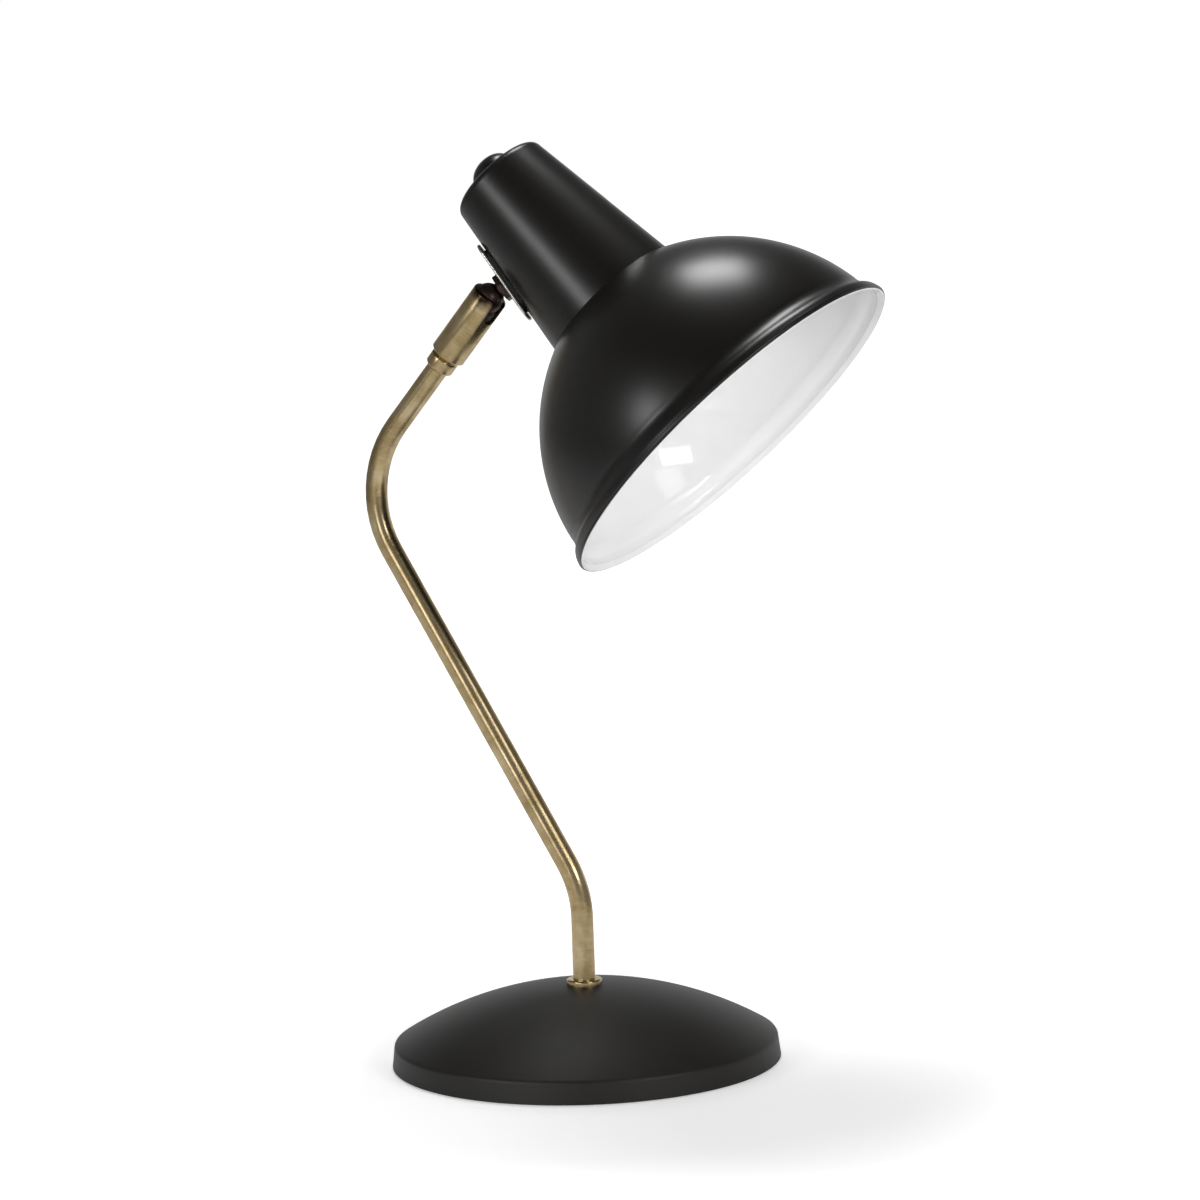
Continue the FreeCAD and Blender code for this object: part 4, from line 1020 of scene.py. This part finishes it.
@dataclass
class Head:
    """The cup and the shade, turned about the head's own axis."""

    shop: Workshop
    cup_start: float = 80.2
    cup_end: float = 159.7
    cup_mouth: float = 33.95
    cup_end_radius: float = 23.147
    cup_wall: float = 1.0
    cup_round: float = 3.9
    button_hole: float = 11.3
    hole_round: float = 0.3
    bowl: float = 92.15
    bowl_middle: float = 2.69
    bowl_offset: float = 5.82
    bowl_foot: float = 12.5
    bowl_steps: int = 72
    flare: float = 2.63
    flare_start: float = 6.3
    flare_curve: float = 9.0
    mouth: float = 5.13
    lip_curve: float = 6.0
    lip_steps: int = 6
    bead_start: float = 2.2
    bead_curve: float = 1.4
    curve_steps: int = 8
    shade_wall: float = 1.0
    inlet: float = 14.2
    # A face is enamelled where it looks outwards by less than this share, on the bead and above it.
    bead_share: float = 0.3
    wall_share: float = -0.05
    # The flat round the inlet is enamelled where it looks up by less than this share.
    flat_share: float = -0.9

    def bowl_radius(self, radius: float, height: float) -> float:
        """Give how far a bowl skin of a radius lies from the axis at a height."""
        return math.sqrt(radius**2 - (height + self.bowl_middle) ** 2) - self.bowl_offset

    def cup(self) -> Mesh:
        """Turn the tapered cup, open to the shade, with a rounded shoulder round the button's hole.

        Returns:
            The closed mesh, in millimetres.
        """
        wall, end = self.cup_wall, self.cup_end
        taper = (self.cup_mouth - self.cup_end_radius) / (end - self.cup_start)
        across = wall * math.hypot(1, taper)
        inner = self.cup_end_radius - across + wall * taper
        outline = Outline(self.cup_mouth, self.cup_start)
        outline.line(self.cup_end_radius, end, self.cup_round, segments=12)
        outline.line(self.button_hole, end, self.hole_round, segments=3).line(self.button_hole, end - wall)
        outline.line(inner, end - wall, self.cup_round - wall, segments=8)
        return outline.line(self.cup_mouth - across, self.cup_start).closed().turned(steps=192)

    def shade(self) -> Mesh:
        """Turn the bowl with its flared mouth and rolled bead.

        Returns:
            The closed mesh, in millimetres.
        """
        wall, lift = self.shade_wall, self.cup_start - self.shade_wall
        inner = self.bowl - wall
        foot, inner_foot = (self.bowl_radius(skin, self.bowl_foot) for skin in (self.bowl, inner))
        flare, mouth = foot + self.flare, foot + self.mouth
        outline = Outline(self.inlet, self.cup_start)
        outline.line(self.bowl_radius(self.bowl, self.cup_start), self.cup_start)
        outline.arc(foot, self.bowl_foot, self.bowl, Bow.RIGHT, self.bowl_steps)
        outline.arc(flare, self.flare_start, self.flare_curve, Bow.LEFT, self.curve_steps)
        outline.arc(mouth, self.bead_start, self.lip_curve, Bow.RIGHT, self.lip_steps)
        outline.arc(mouth - self.bead_curve, 0, self.bead_curve, Bow.RIGHT, self.curve_steps)
        outline.line(flare - wall / 2, self.bead_start)
        outline.arc(flare - wall, self.flare_start - wall / 2, self.lip_curve, Bow.LEFT, self.lip_steps)
        outline.arc(inner_foot, self.bowl_foot, self.flare_curve + wall, Bow.RIGHT, self.curve_steps)
        outline.arc(self.bowl_radius(inner, lift), lift, inner, Bow.LEFT, self.bowl_steps)
        return outline.line(self.inlet, lift).closed().turned(steps=256)

    def inside(self, face: bmesh.types.BMFace) -> int:
        """Tell the shade's enamelled inside from its painted outside.

        Args:
            face: A face of the shade, in the head's own frame.

        Returns:
            1 for the inside and 0 for the outside.
        """
        centre = face.calc_center_median()
        outward = face.normal.dot(Vector((centre.x, centre.y, 0)).normalized())
        if centre.z < self.bead_start:
            return int(outward < self.bead_share)
        return int(outward < self.wall_share or face.normal.z < self.flat_share)

    def build(self) -> None:
        """Turn both shells."""
        shop, frame = self.shop, self.shop.frames.head
        shop.piece("cup", self.cup(), frame, [PAINT], "head", "lamp_cup")
        shop.piece("bowl_shade", self.shade(), frame, [PAINT, ENAMEL], "head", "shade", pick=self.inside)


@dataclass
class Bulb:
    """The round bulb's glass."""

    shop: Workshop
    tip: float = 23.7
    radius: float = 22.5
    neck: float = 6.6
    neck_curve: float = 30.0
    shoulder_share: float = 0.77
    cap_front: float = 77.9
    cap_depth: float = 5.0

    def build(self) -> None:
        """Turn the glass as one outer skin that runs into the cap."""
        middle, end = self.tip + self.radius, self.cap_front + self.cap_depth
        shoulder = self.radius * self.shoulder_share
        rise = self.radius * math.sqrt(1 - self.shoulder_share**2)
        glass = Outline(0, self.tip).arc(self.radius, middle, self.radius, Bow.LEFT, steps=40)
        glass.arc(shoulder, middle + rise, self.radius, Bow.LEFT, steps=24)
        glass.arc(self.neck, self.cap_front, self.neck_curve, Bow.RIGHT, steps=24)
        glass.line(self.neck, end).line(0, end)
        self.shop.piece("bulb", glass.turned(), self.shop.frames.head, [GLASS], "head", "bulb_glass")


@dataclass
class Button:
    """The domed push button at the head's far end."""

    shop: Workshop
    out: float = 168.7
    sunk: float = 155.7
    post: float = 2.2
    post_end: float = 140.0
    radius: float = 11.0
    dome: float = 14.8
    edge: float = 5.5
    shoulder_drop: float = 8.1
    shoulder_curve: float = 8.8

    def build(self) -> None:
        """Turn the button."""
        crown = self.out - self.dome + math.sqrt(self.dome**2 - self.edge**2)
        outline = Outline(0, self.post_end).line(self.post, self.post_end).line(self.post, self.sunk)
        outline.line(self.radius, self.sunk).line(self.radius, crown - self.shoulder_drop)
        outline.arc(self.edge, crown, self.shoulder_curve, Bow.LEFT, steps=12)
        outline.arc(0, self.out, self.dome, Bow.LEFT, steps=16)
        self.shop.piece("button", outline.turned(), self.shop.frames.head, [BUTTON_PLASTIC], "button",
                        "push_button")


@dataclass(frozen=True)
class SoftLight:
    """A soft rectangular light that points at the lamp, with its sizes in metres."""

    name: str
    # Degrees round to the camera's right, and degrees up.
    turn: float
    lift: float
    size: tuple[float, float]
    watts: float
    away: float = 1.8
    mirrored: bool = True

    def hang(self, aim: Vector, azimuth: float) -> None:
        """Hang the light.

        Args:
            aim: Where it points.
            azimuth: The camera's own azimuth in degrees.
        """
        turn, lift = math.radians(azimuth + self.turn), math.radians(self.lift)
        way = Vector((math.sin(turn) * math.cos(lift), -math.cos(turn) * math.cos(lift), math.sin(lift)))
        data = bpy.data.lights.new(self.name, "AREA")
        data.shape = "RECTANGLE"
        data.size, data.size_y = self.size
        data.energy = self.watts
        light = bpy.data.objects.new(self.name, data)
        spot = Matrix.Translation(aim + way * self.away)
        light.matrix_world = spot @ way.to_track_quat("Z", "Y").to_matrix().to_4x4()
        light.visible_camera = False
        light.visible_glossy = self.mirrored
        bpy.context.scene.collection.objects.link(light)


@dataclass
class Studio:
    """A pale table in a room that is white to the camera and dim to the lamp, soft lights and the camera.

    Lengths are metres and angles degrees, but the lens and the sensor are in millimetres.
    """

    distance: float = 2.2
    lens: float = 147.55
    sensor: float = 36.0
    azimuth: float = 25.31
    elevation: float = 8.02
    roll: float = -1.90
    aim: tuple[float, float, float] = (0.0, 0.0, 0.21)
    shift_right: float = 0.01278
    shift_up: float = 0.00037
    light_aim: tuple[float, float, float] = (0.03, 0.0, 0.25)
    room_light: tuple[float, float] = (0.22, 0.07)
    room_heights: tuple[float, float] = (0.35, 0.72)
    floor_size: float = 12.0
    floor_white: str = "#f4f4f4"
    floor_light: tuple[float, float] = (0.37, 1.1)
    shadow_reach: tuple[float, float] = (0.18, 0.5)
    lights: tuple[SoftLight, ...] = (
        SoftLight("softbox_right", 39, 18, (0.62, 0.28), 4.2),
        SoftLight("softbox_left", 306, 17, (0.42, 0.42), 5.2),
        SoftLight("panel_left", 332, 9, (0.5, 0.7), 2.6),
        SoftLight("panel_right", 48, 32, (0.5, 0.5), 1.7),
        SoftLight("softbox_top", 182, 71, (0.27, 0.27), 2.7, away=0.8),
        SoftLight("backdrop", 165, 5, (3.4, 0.9), 5.2),
        SoftLight("bounce", 30, 3, (1.4, 0.8), 18.5, mirrored=False),
        SoftLight("overhead", 188, 66, (0.6, 0.6), 4.6, mirrored=False),
        SoftLight("behind", 190, 27, (1.2, 0.6), 5.0, mirrored=False))

    def camera(self) -> None:
        """Stand the camera where the photograph was taken from."""
        turn, lift, lean = (math.radians(value) for value in (self.azimuth, self.elevation, self.roll))
        back = Vector((math.sin(turn) * math.cos(lift), -math.cos(turn) * math.cos(lift), math.sin(lift)))
        level = Vector((math.cos(turn), math.sin(turn), 0))
        up = back.cross(level)
        right = level * math.cos(lean) + up * math.sin(lean)
        top = up * math.cos(lean) - level * math.sin(lean)
        spot = Vector(self.aim) + right * self.shift_right + top * self.shift_up + back * self.distance
        data = bpy.data.cameras.new("camera")
        data.lens = self.lens
        data.sensor_width = self.sensor
        camera = bpy.data.objects.new("camera", data)
        camera.matrix_world = Matrix.Translation(spot) @ Matrix((right, top, back)).transposed().to_4x4()
        bpy.context.scene.collection.objects.link(camera)
        bpy.context.scene.camera = camera

    @staticmethod
    def white_to(tree: Tree) -> Socket:
        """Pick out the rays that see the surroundings white.

        Shiny pieces see the dim room and its panels instead, because a white room turns the black coat grey.

        Args:
            tree: The tree of the floor's material or of the world.

        Returns:
            A socket that is 1 for these rays and 0 for the others.
        """
        rays = add_node(tree, "ShaderNodeLightPath")
        camera, through = (rays.outputs[ray.value] for ray in Ray)
        return add_node(tree, "ShaderNodeMath", {0: camera, 1: through}, operation="MAXIMUM").outputs["Value"]

    def floor(self) -> None:
        """Lay a pale floor that keeps the lamp's shadow and reaches white beside it."""
        mesh = bmesh.new()
        bmesh.ops.create_grid(mesh, x_segments=1, y_segments=1, size=self.floor_size / 2)
        floor = as_object(mesh, "floor")
        material, shader = new_material("matt_white_table", Base_Color=linear(self.floor_white),
                                        Roughness=0.9, Specular_IOR_Level=0.0, Emission_Color=WHITE)
        tree = material.node_tree
        place = add_node(tree, "ShaderNodeTexCoord").outputs["Object"]
        away = add_node(tree, "ShaderNodeVectorMath", {0: place}, operation="LENGTH").outputs["Value"]
        (near, far), (dull, bright) = self.shadow_reach, self.floor_light
        glow = add_node(tree, "ShaderNodeMapRange", {"Value": away, "From Min": near, "From Max": far,
                                                     "To Min": dull, "To Max": bright})
        seen = add_node(tree, "ShaderNodeMath", {0: self.white_to(tree), 1: glow.outputs["Result"]},
                        operation="MULTIPLY")
        tree.links.new(seen.outputs["Value"], shader.inputs["Emission Strength"])
        floor.data.materials.append(material)
        floor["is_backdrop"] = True

    def world(self) -> None:
        """Make the room, which is lighter below than above where it isn't white."""
        world = bpy.data.worlds.new("studio")
        world.use_nodes = True
        bpy.context.scene.world = world
        tree = world.node_tree
        ground = tree.nodes["Background"]
        ground.inputs["Color"].default_value = WHITE
        way = add_node(tree, "ShaderNodeTexCoord").outputs["Generated"]
        height = add_node(tree, "ShaderNodeSeparateXYZ", {"Vector": way}).outputs["Z"]
        (low, high), (light, dim) = self.room_heights, self.room_light
        room = add_node(tree, "ShaderNodeMapRange", {"Value": height, "From Min": low, "From Max": high,
                                                     "To Min": light, "To Max": dim})
        seen = add_node(tree, "ShaderNodeMath", {0: self.white_to(tree), 1: room.outputs["Result"]},
                        operation="MAXIMUM")
        tree.links.new(seen.outputs["Value"], ground.inputs["Strength"])

    def build(self) -> None:
        """Set the whole studio."""
        self.camera()
        self.floor()
        self.world()
        for light in self.lights:
            light.hang(Vector(self.light_aim), self.azimuth)
        bpy.context.scene.view_settings.view_transform = "Standard"


def write_size(when: str, sizes: dict[str, list]) -> None:
    """Keep the object's bounds at a step of the work.

    Args:
        when: The step's name.
        sizes: The bounds at the steps so far, which gain this one.
    """
    low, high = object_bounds()
    sizes[when] = [[float(value) for value in low], [float(value) for value in high]]


def main() -> None:
    """Build the lamp's looks round its frame."""
    logging.basicConfig(level=logging.INFO, format="%(name)s: %(message)s")
    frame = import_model()
    sizes: dict[str, list] = {}
    write_size("loaded", sizes)
    shop = Workshop(frame, Frames.read(frame["joints"]))
    for node, finish in PLAIN_NODES.items():
        shop.dress(node, finish)
    for sub_assembly in (Stem(shop), Swivel(shop), Head(shop), Bulb(shop), Button(shop), Studio()):
        sub_assembly.build()
        LOG.info("built %s", type(sub_assembly).__name__)
    write_size("finished", sizes)


if __name__ == "__main__":
    main()
